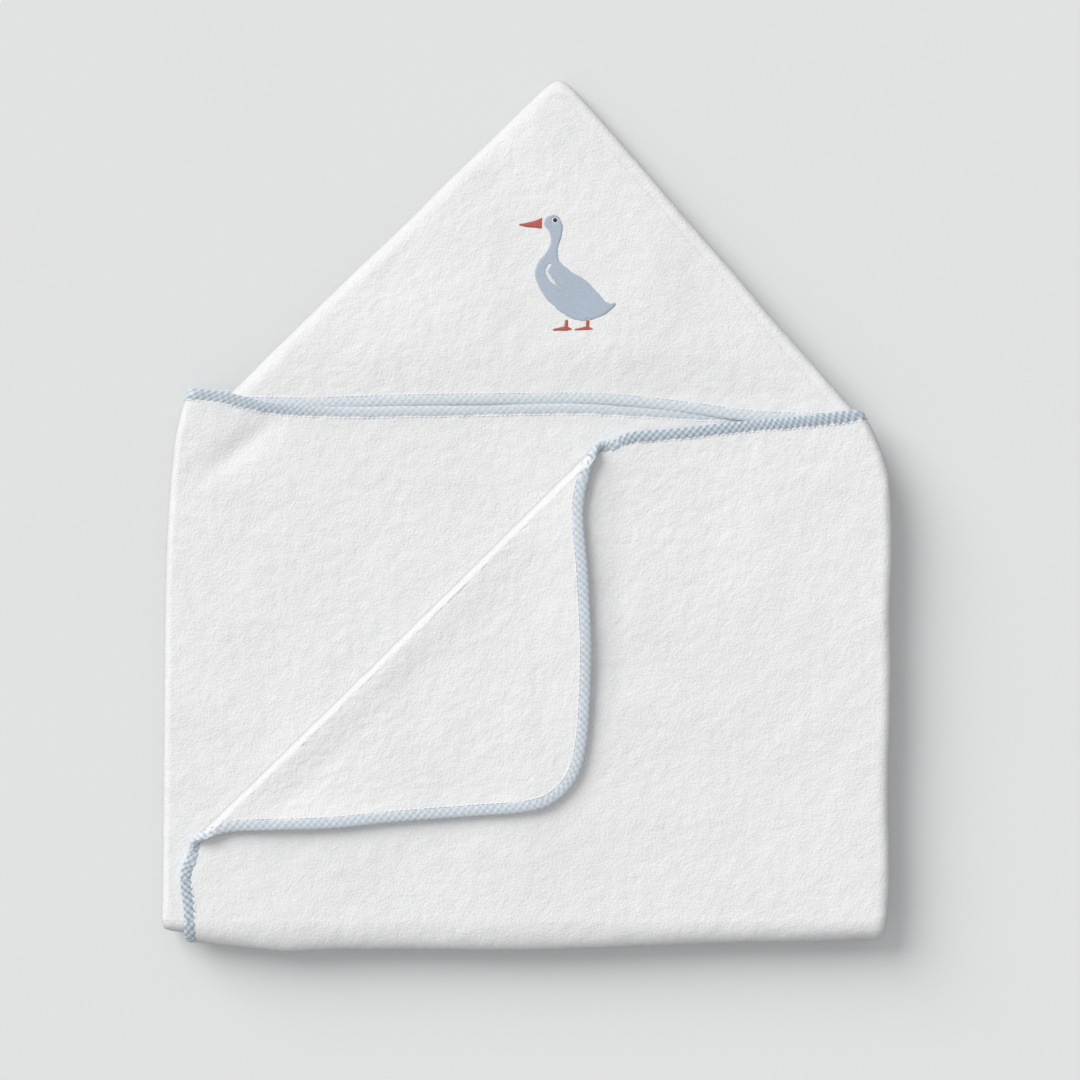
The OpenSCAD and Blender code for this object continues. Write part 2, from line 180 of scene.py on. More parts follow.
joints = {joint["name"]: joint for joint in frame["joints"]}
centre_lo, centre_hi = node_box("centre_upper_panel")
LAYER = centre_hi[2] - centre_lo[2]
LEFT_AXIS = centre_lo[0]
RIGHT_AXIS = centre_hi[0]
HALF_Y = joints["half_fold"]["pos_m"][1] / MM
HALF_Z = joints["half_fold"]["pos_m"][2] / MM
# Heights of the layers' middles above the plane of the half fold
CENTRE_RHO = centre_lo[2] + LAYER / 2 - HALF_Z
LEFT_RHO = node_box("left_wing_upper_panel")[0][2] + LAYER / 2 - HALF_Z
RIGHT_RHO = node_box("right_wing_upper_panel")[0][2] + LAYER / 2 - HALF_Z
TIGHT_R = (LEFT_RHO - CENTRE_RHO) / 2
WRAP_R = (RIGHT_RHO - CENTRE_RHO) / 2
# Outer edges of the bindings
LEFT_FREE_X = node_box("binding_left_wing_upper")[1][0]
RIGHT_FREE_X = node_box("binding_right_wing_side")[0][0]
LEFT_LOWER_TOP = node_box("binding_left_wing_lower")[1][1]
RIGHT_LOWER_TOP = node_box("binding_right_wing_lower")[1][1]
CENTRE_LOWER_TOP = node_box("binding_centre_lower")[1][1]
RIGHT_TOP = node_box("binding_right_wing_top")[1][1]
CORNER_R = 42.0
# The left wing's top corner, which lies under the right wing's edge
TUCKED_R = 12.0
BINDING_W = 8.3

crease_pin = np.array(joints["corner_fold"]["pos_m"][:2]) / MM
CREASE_DIR = -np.array(joints["corner_fold"]["axis"][:2], float)
# From the crease towards the turned corner
CREASE_SIDE = np.array([CREASE_DIR[1], -CREASE_DIR[0]])
CORNER_Z = node_box("corner_panel")[0][2] + LAYER / 2
RIGHT_Z = HALF_Z + RIGHT_RHO
WING_SLOPE = (RIGHT_TOP - crease_pin[1]) / (RIGHT_AXIS - crease_pin[0])

NECK_Y = joints["hood_fold"]["pos_m"][1] / MM
NECK_Z = joints["hood_fold"]["pos_m"][2] / MM
# The soft hood spreads a little wider than the CAD's straight one
HOOD_LEFT = node_box("hood_left_fold")[0][0] - 12.5
HOOD_RIGHT = node_box("hood_right_seam")[1][0] + 8.5


# ---- Small maths ----

def ease(t):
    t = np.clip(t, 0, 1)
    return t * t * (3 - 2 * t)


def follow(x, knots):
    """Smooth curve through (place, value) knots, level beyond the ends."""
    at, value = np.array(knots, float).T
    slope = np.gradient(value, at)
    i = np.clip(np.searchsorted(at, x) - 1, 0, len(at) - 2)
    span = at[i + 1] - at[i]
    t = np.clip((x - at[i]) / span, 0, 1)
    a = (2 * t - 3) * t * t + 1
    b = ((t - 2) * t + 1) * t * span
    c = (3 - 2 * t) * t * t
    d = (t - 1) * t * t * span
    return a * value[i] + b * slope[i] + c * value[i + 1] + d * slope[i + 1]


def lattice(cell, seed):
    """A fixed pseudo-random value from -1 to 1 for each integer cell."""
    h = cell @ np.array([374761393, 668265263, 2147483647]) + seed * 974634777
    h = h & 0xFFFFFFFF
    h = ((h ^ (h >> 13)) * 1274126177) & 0xFFFFFFFF
    h = h ^ (h >> 16)
    return h / 0x7FFFFFFF - 1


def noise(p, size, seed):
    """Smooth value noise from -1 to 1 at points p, with lumps of the given size."""
    q = p / size
    cell = np.floor(q).astype(np.int64)
    f = ease(q - cell)
    total = np.zeros(len(q))
    for corner in itertools.product((0, 1), repeat=3):
        corner = np.array(corner)
        weight = np.prod(np.where(corner, f, 1 - f), axis=1)
        total += weight * lattice(cell + corner, seed)
    return total


def unit(v):
    return v / np.maximum(np.linalg.norm(v, axis=-1, keepdims=True), 1e-9)


def run_length(points):
    """Distance along a polyline at each of its points."""
    return np.concatenate([[0], np.cumsum(np.linalg.norm(np.diff(points, axis=0), axis=1))])


def quad_normal(corners):
    a, b, c, d = corners
    return np.cross(c - a, d - b)


def resample(points, spacing):
    """A smooth curve through the points, sampled evenly."""
    p = np.array(points, float)
    padded = np.vstack([2 * p[0] - p[1], p, 2 * p[-1] - p[-2]])
    t = np.linspace(0, 1, 24, endpoint=False)[:, None]
    runs = []
    for a, b, c, d in zip(padded, padded[1:], padded[2:], padded[3:]):
        runs.append(0.5 * (2 * b + (c - a) * t + (2 * a - 5 * b + 4 * c - d) * t ** 2
                           + (3 * b - a - 3 * c + d) * t ** 3))
    fine = np.vstack(runs + [p[-1:]])
    along = run_length(fine)
    count = max(2, int(round(along[-1] / spacing)) + 1)
    at = np.linspace(0, along[-1], count)
    return np.column_stack([np.interp(at, along, fine[:, k]) for k in range(fine.shape[1])])


def rounded(points, radius, spacing):
    """A polyline with its inner corners rounded, sampled evenly enough for a tape."""
    p = [np.array(q, float) for q in points]
    path = [p[0]]
    for before, corner, after in zip(p, p[1:], p[2:]):
        back, on = unit(before - corner), unit(after - corner)
        half = math.acos(np.clip(back @ on, -1, 1)) / 2
        centre = corner + unit(back + on) * radius / math.sin(half)
        start = corner + back * radius / math.tan(half) - centre
        end = corner + on * radius / math.tan(half) - centre
        turn = math.atan2(start[0] * end[1] - start[1] * end[0], start @ end)
        for angle in np.linspace(0, turn, 12):
            c, s = math.cos(angle), math.sin(angle)
            path.append(centre + np.array([[c, -s], [s, c]]) @ start)
    path.append(p[-1])
    path = np.array(path)
    along = run_length(path)
    at = np.linspace(0, along[-1], max(2, int(along[-1] / spacing)))
    return np.column_stack([np.interp(at, along, path[:, k]) for k in range(2)])


# ---- How the folded stack lies ----

# How far the sides and the foot lie off the CAD's straight lines, over y, y and x
LEFT_DRIFT = ((-173, -2), (-146, -1.5), (-83, -0.8), (11, 0), (68, 1), (120, 4.2), (150, 7.8),
              (168, 12.5), (175, 16))
RIGHT_DRIFT = ((-173, -1), (-143, 1.5), (-75, 1.2), (0, 2.8), (28, 2.2), (91, 3.3), (129, -0.5),
               (150, -9), (163, -16.5))
FOOT_DRIFT = ((-228, 3), (-201, -1.5), (-170, -5.3), (-148, -7.2), (-130, -6.4), (10, -6.2),
              (120, -2), (190, -0.6), (228, 0.6))


# A soft hollow under the left end of the top edge
HOLLOW_AT = (-184, 139)
HOLLOW_DIR = np.array((0.78, 0.62))
HOLLOW_LONG, HOLLOW_WIDE, HOLLOW_DEEP = 30, 9.5, 2.6


def crease_distance(p):
    return (p[:, :2] - crease_pin) @ CREASE_SIDE


def settle(p):
    """Moves rest points from the CAD's straight stack to how the soft one lies."""
    p = np.array(p, float)
    x, y, z = p.T.copy()
    p[:, 0] += follow(y, LEFT_DRIFT) * ease((-x - 110) / 100)
    p[:, 0] += follow(y, RIGHT_DRIFT) * ease((x - 120) / 90)
    p[:, 1] += follow(x, FOOT_DRIFT) * ease((HALF_Y - y) / 13)
    flat = np.column_stack([x, y, np.zeros(len(x))])
    waves = 0.9 * noise(flat, 120, 3) + 0.5 * noise(flat, 52, 4) + 0.25 * noise(flat, 24, 5)
    # Beside the crease it lies flat, so that the opened corner clears it
    waves = np.where(crease_distance(flat) < 0, np.minimum(waves, 0.1), waves)
    calm = ease((y - HALF_Y - 8) / 50) * ease(np.abs(crease_distance(p)) / 22)
    height = np.clip(z / RIGHT_Z, 0, 1)
    along = (flat[:, :2] - HOLLOW_AT) @ HOLLOW_DIR
    off = (flat[:, :2] - HOLLOW_AT) @ (HOLLOW_DIR[1], -HOLLOW_DIR[0])
    waves = waves - HOLLOW_DEEP * np.exp(-(along / HOLLOW_LONG) ** 2 - (off / HOLLOW_WIDE) ** 2)
    p[:, 2] += waves * calm * height ** 2
    # The top layer stands proud under the turned corner's side edge
    top = ease((z - (RIGHT_Z - LAYER / 2 - 0.3)) / 0.2)
    shoulder = ease((64 - x) / 27) * ease((x + 25) / 50) * ease((y + 30) / 60)
    p[:, 2] += 1.9 * shoulder * top * ease(crease_distance(p) / 25)
    p[:, 2] = np.maximum(p[:, 2], FLOOR_GAP)
    return p


# ---- Sheets, unrolled place and height to rest place ----

def folded_x(u, h, side):
    """x and height above the half fold's plane for the wing on one side, its fold included."""
    if side > 0:
        axis, radius, rho = RIGHT_AXIS, WRAP_R, RIGHT_RHO
    else:
        axis, radius, rho = LEFT_AXIS, TIGHT_R, LEFT_RHO
    past = side * (u - axis)
    turn = np.clip(past / radius, 0, math.pi)
    x = axis + side * (np.minimum(past, 0) + (radius + h) * np.sin(turn))
    return x, rho - radius + (radius + h) * np.cos(turn)


# Each gives x, the height above the half fold's plane and the sheet's own level there

def right_wing(q, h):
    return (*folded_x(q[:, 0], h, 1), RIGHT_RHO)


def left_wing(q, h):
    x, rho = folded_x(q[:, 0], h, -1)
    top = ease((q[:, 1] - left_top(q[:, 0]) + 16) / 14) * ease((70 - q[:, 0]) / 60)
    return x, rho + 0.6 * top * ease((q[:, 0] - LEFT_AXIS + 4) / 8), LEFT_RHO


def centre(q, h):
    return q[:, 0], CENTRE_RHO + h, CENTRE_RHO


def upper(sheet, side=1):
    """A sheet's half above the half fold's plane, or below it with side -1."""
    def place(q, h):
        x, rho, _ = sheet(q, h)
        return settle(np.column_stack([x, q[:, 1], HALF_Z + side * rho]))
    return place


def lower(sheet):
    return upper(sheet, -1)


def bend(sheet):
    """The bottom fold: v runs from HALF_Y down by half a turn at the sheet's own radius."""
    def place(q, h):
        x, rho, level = sheet(np.column_stack([q[:, 0], np.full(len(q), HALF_Y)]), h)
        turn = (HALF_Y - q[:, 1]) / level
        y = HALF_Y - rho * np.sin(turn)
        return settle(np.column_stack([x, y, HALF_Z + rho * np.cos(turn)]))
    return place


# Top edges of the upper sheets, as heights over u
LEFT_TOP = ((-236, 176.5), (-228, 176), (-200, 172.5), (-172, 167.5), (-128, 164.6), (-60, 165),
            (47, 166), (84, 164), (110, 162.5), (148, 162.5))
WING_SAG = 2.4
# How much lower the centre's lower half ends on the right than on the left
CENTRE_DROP = 14.0
# Where the right wing's top edge turns down into the crease
TOP_X = crease_pin[0] - 3.5


def left_top(u):
    return follow(u, LEFT_TOP)


def right_top(u):
    line = crease_pin[1] + (np.minimum(u, RIGHT_AXIS) - crease_pin[0]) * WING_SLOPE - WING_SAG
    turn_in = 4.2 * np.clip(1 - (u - TOP_X) / 15.0, 0, 1.2) ** 2
    return line + 0.5 * np.sin(u / 17.0) * ease((u - 70) / 40) - turn_in


def centre_top(u):
    share = (u - LEFT_AXIS) / (RIGHT_AXIS - LEFT_AXIS)
    at_left, at_right = (np.full(len(u), axis) for axis in (LEFT_AXIS, RIGHT_AXIS))
    return left_top(at_left) * (1 - share) + right_top(at_right) * share


def centre_lower_top(u):
    return CENTRE_LOWER_TOP - 1.0 - CENTRE_DROP * (u - LEFT_AXIS) / (RIGHT_AXIS - LEFT_AXIS)


# ---- The crease and the turned corner, in distance s along the crease and d across it ----

crease_origin = crease_pin + CREASE_DIR * ((RIGHT_FREE_X - crease_pin[0]) / CREASE_DIR[0])


# The roll at the crease bulges back over the CAD's crease line. Its radius varies along it.
ROLL_SET = 2.5
ROLL_MID, ROLL_TOP, ROLL_FOOT = 3.1, 3.6, 3.3
ROLL_GIRTH = math.pi * ROLL_TOP


def on_crease(x):
    """Distance along the crease of the point at x on the edge of the roll."""
    return (x - crease_origin[0] - ROLL_SET * CREASE_SIDE[0]) / CREASE_DIR[0]


# Where the right wing's edges run into the crease, and where the corner's edges leave it
TOP_IN = on_crease(TOP_X)
TOP_OUT = TOP_IN - 14.0
FOOT_IN = on_crease(RIGHT_FREE_X + 3.0)
FOOT_OUT = FOOT_IN + 16.0


def crease_point(s, d):
    return crease_origin + np.outer(s, CREASE_DIR) + np.outer(d, CREASE_SIDE)


def roll_radius(s):
    top = ease((s - (TOP_IN - 110)) / 100)
    foot = ease((FOOT_IN + 90 - s) / 80)
    return ROLL_MID + (ROLL_TOP - ROLL_MID) * top + (ROLL_FOOT - ROLL_MID) * foot


def round_crease(q, h):
    """q is (s, c): c below 0 is on the wing, then come the roll and, past its girth, the corner.
    h is positive on the wing's top face, which turns to the corner's underside."""
    s, c = q[:, 0], q[:, 1]
    radius = roll_radius(s)
    turn = np.clip(c / ROLL_TOP, 0, math.pi)
    d = ROLL_SET - (radius - h) * np.sin(turn) + np.maximum(-c, 0)
    z = RIGHT_Z + radius - (radius - h) * np.cos(turn)
    folded = settle(np.column_stack([crease_point(s, d), z]))
    over = c > ROLL_GIRTH
    if over.any():
        beyond = np.column_stack([s, ROLL_SET + c - ROLL_GIRTH])
        folded[over] = turned_corner(beyond[over], -h[over])
    return folded


def corner_lift(s, d):
    """How far the turned corner's edges stand up off the wing below."""
    p = crease_point(s, d)
    side = ease(1 - (41 - p[:, 0]) / 34) * ease((p[:, 1] + 95) / 110) * 1.8
    foot = ease(1 - (p[:, 1] + 101) / 26) * (0.7 + 1.2 * ease((-60 - p[:, 0]) / 90))
    return np.maximum(side, foot) + 0.2


def turned_corner(q, h):
    s, d = q[:, 0], q[:, 1]
    past = d - ROLL_SET
    crown = (RIGHT_Z + 2 * roll_radius(s) - CORNER_Z) * (1 - ease(past / 22))
    z = CORNER_Z + crown + corner_lift(s, d) * ease(past / 30) + h
    return settle(np.column_stack([crease_point(s, d), z]))


# The corner's bound edge from its top to its foot, as plan places
corner_top = crease_point(TOP_OUT, ROLL_SET)[0]
corner_foot = crease_point(FOOT_OUT, ROLL_SET)[0]
CORNER_EDGE = (
    corner_top, (41.6, 127), (39.2, 118), (37.0, 108), (36.0, 97), (36.6, 86), (38.2, 70),
    (39.4, 54), (40.2, 38), (41.2, 16), (40.4, -20), (38, -48), (32.5, -68), (20.5, -82), (3, -89),
    (-38, -92.5), (-80, -95.6), (-122, -99.6), (-160, -100.8), (-184, -102.0), corner_foot)


def to_crease(p):
    p = np.atleast_2d(p) - crease_origin
    return np.column_stack([p @ CREASE_DIR, p @ CREASE_SIDE])


# ---- Hood, in its own sloping plane: x, y from the neck, z from the middle between its panels ----

HOOD_SLOPE = math.radians(3.7)
SLOPE_C, SLOPE_S = math.cos(HOOD_SLOPE), math.sin(HOOD_SLOPE)
HOOD_LEFT_RISE = math.tan(math.radians(44.6))
HOOD_RIGHT_RISE = math.tan(math.radians(49.4))
HOOD_TIP_X = ((HOOD_LEFT * HOOD_LEFT_RISE + HOOD_RIGHT * HOOD_RIGHT_RISE)
              / (HOOD_LEFT_RISE + HOOD_RIGHT_RISE))
HOOD_CLEAR = 0.2


def in_hood(p):
    """From the hood's plane to the frame all pieces share."""
    y = NECK_Y + p[:, 1] * SLOPE_C + p[:, 2] * SLOPE_S
    z = NECK_Z - p[:, 1] * SLOPE_S + p[:, 2] * SLOPE_C
    return np.column_stack([p[:, 0], y, np.maximum(z, FLOOR_GAP)])


def hood_sides(x, y):
    """Distance from the hood's left and right edges."""
    left = ((x - HOOD_LEFT) * HOOD_LEFT_RISE - y) * math.cos(math.atan(HOOD_LEFT_RISE))
    right = ((HOOD_RIGHT - x) * HOOD_RIGHT_RISE - y) * math.cos(math.atan(HOOD_RIGHT_RISE))
    return left, right


def hood_top(x):
    """Height of the hood's outline over x, with a soft tip."""
    soft = 7.0
    left = (x - HOOD_LEFT) * HOOD_LEFT_RISE
    right = (HOOD_RIGHT - x) * HOOD_RIGHT_RISE
    wave = 0.8 * noise(np.column_stack([x, x * 0, x * 0 + 9]), 26, 12)
    return -soft * np.logaddexp(-left / soft, -right / soft) + wave


# Free edge of the hood's face, as a distance above the neck
HOOD_FACE = ((-187, -6), (-142, -6.6), (-85, -5), (0, -3.9), (47, -3.9), (74, -6), (106, -9.8),
             (138, -14.2), (170, -16.2), (205, -16.4))


def hood_face(x):
    return follow(x, HOOD_FACE)


def round_off(distance, radius):
    t = np.clip(distance / radius, 0, 1)
    return np.sqrt(np.maximum(1 - (1 - t) ** 2, 0))


def hood_height(q, fullness):
    """Height of the hood's outer face above the middle between its panels."""
    x, y = q[:, 0], q[:, 1]
    left, right = hood_sides(x, y)
    to_right = ease((x - HOOD_TIP_X) / 36 + 0.5)
    edge = (hood_top(x) - y) * (0.71 - 0.06 * to_right)
    flat = np.column_stack([x, y, np.zeros(len(x))])
    inside = ease(left / 60) * ease(right / 60) * ease((y + 4) / 40)
    waves = 0.8 * noise(flat, 60, 21) + 0.45 * noise(flat, 28, 22)
    groove = 0.5 * np.exp(-((edge - 8.0) / 1.6) ** 2) * to_right
    height = LAYER + HOOD_CLEAR + fullness * (inside * 2.2 + waves * ease(edge / 25)) - groove
    return height * round_off(edge, 10.0 - 4.0 * to_right)


def hood_sheet(fullness, side):
    """The hood's front panel with side 1, its back panel with side -1."""
    def place(q, h):
        z = hood_height(q, fullness) - LAYER / 2 + h
        z = np.maximum(z, HOOD_CLEAR * np.where(h > 0, 1.0, 0.1))
        return in_hood(np.column_stack([q, side * z]))
    return place


hood_front = hood_sheet(1.0, 1)
hood_back = hood_sheet(0.15, -1)


def neck(q, h):
    """From the centre layer's top edge to the hood's back panel."""
    flat = np.column_stack([q[:, 0], q[:, 1], HALF_Z + CENTRE_RHO + h])
    y = q[:, 1] - NECK_Y
    hooded = in_hood(np.column_stack([q[:, 0], y, -HOOD_CLEAR - LAYER / 2 + h]))
    share = ease((q[:, 1] - NECK_Y + 6) / 12)[:, None]
    return flat * (1 - share) + hooded * share


# ---- Meshes ----

def add_mesh(name, points, faces, material, attributes=None, walls=0):
    """A closed piece. Its last faces, the walls, are shaded flat and have sharp edges, so that the
    rounded faces beside them stay even."""
    mesh = bpy.data.meshes.new(name)
    mesh.vertices.add(len(points))
    mesh.vertices.foreach_set("co", (points * MM).astype(np.float32).ravel())
    sides = faces.shape[1]
    mesh.loops.add(faces.size)
    mesh.loops.foreach_set("vertex_index", faces.astype(np.int32).ravel())
    mesh.polygons.add(len(faces))
    mesh.polygons.foreach_set("loop_start", np.arange(0, faces.size, sides, dtype=np.int32))
    mesh.update(calc_edges=True)
    mesh.polygons.foreach_set("use_smooth", np.arange(len(faces)) < len(faces) - walls)
    for key, value in (attributes or {}).items():
        mesh.attributes.new(key, "FLOAT", "POINT").data.foreach_set("value", value.astype(np.float32))
    if walls:
        rim = faces[-walls:]
        pairs = np.sort(np.vstack([rim[:, [k, (k + 1) % sides]] for k in range(sides)]), axis=1)
        keys = pairs[:, 0] * len(points) + pairs[:, 1]
        ends = np.zeros(len(mesh.edges) * 2, np.int32)
        mesh.edges.foreach_get("vertices", ends)
        ends = np.sort(ends.reshape(-1, 2), axis=1).astype(np.int64)
        sharp = np.isin(ends[:, 0] * len(points) + ends[:, 1], keys)
        mesh.attributes.new("sharp_edge", "BOOLEAN", "EDGE").data.foreach_set("value", sharp)
    mesh.validate()
    mesh.update()
    piece = bpy.data.objects.new(name, mesh)
    bpy.context.scene.collection.objects.link(piece)
    mesh.materials.append(materials[material])
    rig.slot(piece, SLOTS[material])
    return piece


def pile(p, seed, share):
    """Height of the terry loops above the cloth."""
    clumps = 0.20 * noise(p, 3.4, seed) + 0.16 * noise(p, 7.5, seed + 1)
    return share * (clumps + 0.10 * noise(p, 17, seed + 2))


def grid_faces(nu, nv, offset=0):
    i, j = np.meshgrid(np.arange(nu - 1), np.arange(nv - 1), indexing="ij")
    a = (i * nv + j).ravel() + offset
    return np.column_stack([a, a + nv, a + nv + 1, a + 1])


def shell(name, place, q, material="terry", share=1.0):
    """A closed terry sheet over a grid of unrolled places, with a share of the full pile."""
    nu, nv = q.shape[:2]
    count = nu * nv
    flat = q.reshape(-1, 2)
    outer = place(flat, np.full(count, LAYER / 2))
    inner = place(flat, np.full(count, -LAYER / 2))
    out = unit(outer - inner)
    outer = outer + out * pile(outer, 31, share)[:, None]
    inner = inner - out * pile(inner, 36, share)[:, None]
    points = np.vstack([outer, inner])
    points[:, 2] = np.maximum(points[:, 2], PILE_GAP)
    face = grid_faces(nu, nv)
    sample = face[len(face) // 2]
    if quad_normal(outer[sample]) @ out[sample[0]] < 0:
        face = face[:, ::-1]
    index = np.arange(count).reshape(nu, nv)
    ring = np.concatenate([index[:, 0], index[-1, 1:], index[-2::-1, -1], index[0, -2:0:-1]])
    after = np.roll(ring, -1)
    walls = np.column_stack([ring, after, after + count, ring + count])
    edges = np.vstack([face[:, :2], face[:, 1:3]])
    if (edges == (ring[0], after[0])).all(axis=1).any():
        walls = walls[:, ::-1]
    faces = np.vstack([face, face[:, ::-1] + count, walls])
    return add_mesh(name, points, faces, material, walls=len(walls))


def rows_grid(left, right, top, base, rows, columns):
    """Grid between a left and a right boundary polyline, whose rows follow the top edge."""
    def share(p):
        return (p[:, 1] - base) / (top(p[:, 0]) - base)
    sides = []
    for side in (left, right):
        side = np.array(side, float)
        t = np.maximum.accumulate(share(side) + np.arange(len(side)) * 1e-9)
        sides.append(np.interp(rows, t, side[:, 0]))
    u = sides[0][None, :] + (sides[1] - sides[0])[None, :] * columns[:, None]
    v = base + rows[None, :] * (top(u.ravel()).reshape(u.shape) - base)
    return np.dstack([u, v])


def spaced(length, spacing):
    return np.linspace(0, 1, max(2, int(round(length / spacing)) + 1))


# The binding: points round it, step along it, its thickness and how far it is lifted
TAPE_RING = 18
TAPE_STEP = 1.3
TAPE_THICK = 5.0
TAPE_LIFT = 0.25
TAPE_SEED = 51
# Distance along the edge from one slanting stripe of the binding to the next
STRIPE_PITCH = 4.6


def edge_frame(path, outward):
    """The outward direction at each point of an edge's path, and the distance along it."""
    direction = unit(np.gradient(path, axis=0))
    return np.column_stack([direction[:, 1], -direction[:, 0]]) * outward, run_length(path)


def tape(name, place, path, outward, lean, tone):
    """Bias binding wrapped round a cloth edge. The path is the tape's outer edge, unrolled, lean is the way its
    stripes slant and tone is how strongly they show, along the path. A higher tone gives darker stripes: partly the
    checks, and partly painted shade on the edges that lie in shade."""
    side, along = edge_frame(path, outward)
    angle = np.linspace(0, 2 * math.pi, TAPE_RING, endpoint=False)
    c, s = np.cos(angle), np.sin(angle)
    across = -BINDING_W / 2 + 0.4 + (BINDING_W / 2 + 0.3) * np.sign(c) * np.abs(c) ** 0.75
    up = TAPE_THICK / 2 * np.sign(s) * np.abs(s) ** 0.55
    # It is drawn down along its stitched inner edge
    up = up * (1 - 0.32 * ease((-across - 4.2) / 3.6)) + TAPE_LIFT
    girth = np.concatenate([[0], np.cumsum(np.hypot(np.diff(across), np.diff(up)))])
    n, m = len(path), TAPE_RING
    q = (path[:, None, :] + side[:, None, :] * across[None, :, None]).reshape(-1, 2)
    u = np.repeat(along, m)
    v = np.tile(girth, n)
    # Slanting puckers from the bias cut, uneven along the edge
    # The tone, partly painted shade, goes to the material and also deepens the puckers
    shown = np.repeat(tone + np.zeros(n), m)
    sway = noise(np.column_stack([u, u * 0 + TAPE_SEED, u * 0]), 11, TAPE_SEED)
    slant = np.sin(2 * math.pi * (u + lean * v + 1.2 * sway) / STRIPE_PITCH)
    pucker = (0.18 + 0.3 * shown) * slant + 0.16 * sway
    h = np.tile(up, n)
    swell = 1 + pucker / (TAPE_THICK / 2)
    points = place(q, (h - TAPE_LIFT) * swell + TAPE_LIFT)
    quads = grid_faces(n, m + 1)
    row, column = np.divmod(quads, m + 1)
    quads = row * m + column % m
    sample = quads[len(quads) // 2]
    start = row[len(quads) // 2, 0] * m
    out = points[sample[0]] - points[start:start + m].mean(0)
    flipped = quad_normal(points[sample]) @ out < 0
    if flipped:
        quads = quads[:, ::-1]
    caps = []
    for first, turned in ((0, False), ((n - 1) * m, True)):
        for k in range(1, m // 2):
            quad = [first + i for i in (k - 1, k, m - 1 - k, (m - k) % m)]
            caps.append(quad[::-1] if turned == flipped else quad)
    faces = np.vstack([quads, caps])
    return add_mesh(name, points, faces, "gingham",
                    {"tape_u": u, "tape_v": lean * v, "tape_tone": shown}, len(caps))


STITCH_PITCH = 3.0
STITCH_LEN = 2.2
STITCH_R = 0.26
# Height of the thread above the cloth's middle, on the tape's face
THREAD_H = 2.35


def stitches(name, runs):
    """Short rounded stitches along the tapes' inner edges. A run is (place, path, outward)."""
    all_points = []
    faces = [(level + k, level + (k + 1) % 6, level + (k + 1) % 6 + 6, level + k + 6)
             for level in (0, 6, 12) for k in range(6)]
    faces = np.array(faces + [(3, 2, 1, 0), (5, 4, 3, 0), (18, 19, 20, 21), (18, 21, 22, 23)])
    ring = np.linspace(0, 2 * math.pi, 6, endpoint=False)
    ends = ((-0.5, 0.35), (-0.32, 1.0), (0.32, 1.0), (0.5, 0.35))
    for place, path, outward in runs:
        side, along = edge_frame(path, outward)
        for at in np.arange(STITCH_PITCH, along[-1] - STITCH_PITCH, STITCH_PITCH):
            at += rng.uniform(-0.2, 0.2)
            q0 = np.array([np.interp(at, along, path[:, k]) for k in range(2)])
            e0 = unit(np.array([np.interp(at, along, side[:, k]) for k in range(2)]))
            t0 = np.array([-e0[1], e0[0]])
            t0 = unit(t0 + e0 * rng.uniform(-0.08, 0.08))
            centre_q = q0 - e0 * (BINDING_W - 1.5)
            qs, hs = [], []
            for offset, scale in ends:
                for turn in ring:
                    qs.append(centre_q + t0 * offset * STITCH_LEN
                              + e0 * math.cos(turn) * STITCH_R * scale)
                    drop = 0.3 * abs(offset * 2) ** 3
                    hs.append(THREAD_H + (math.sin(turn) * scale - drop) * STITCH_R)
            all_points.append(place(np.array(qs), np.array(hs)))
    points = np.vstack(all_points)
    faces = np.vstack([faces + 24 * k for k in range(len(all_points))])
    if quad_normal(points[faces[1]]) @ (points[faces[1, 0]] - points[:24].mean(0)) < 0:
        faces = faces[:, ::-1]
    return add_mesh(name, points, faces, "thread")


# ---- Materials ----

SLOTS = {"terry": "terry_sheet", "terry_hood": "terry_hood", "gingham": "gingham_binding",
         "thread": "sewing_thread", "backing": "embroidery_backing", "blue_grey": "thread_blue_grey",
         "coral": "thread_coral", "dark": "thread_dark", "white": "thread_white"}
materials = {}


def linear(rgb):
    rgb = np.array(rgb, float) / 255
    value = np.where(rgb <= 0.04045, rgb / 12.92, ((rgb + 0.055) / 1.055) ** 2.4)
    return (*value, 1.0)


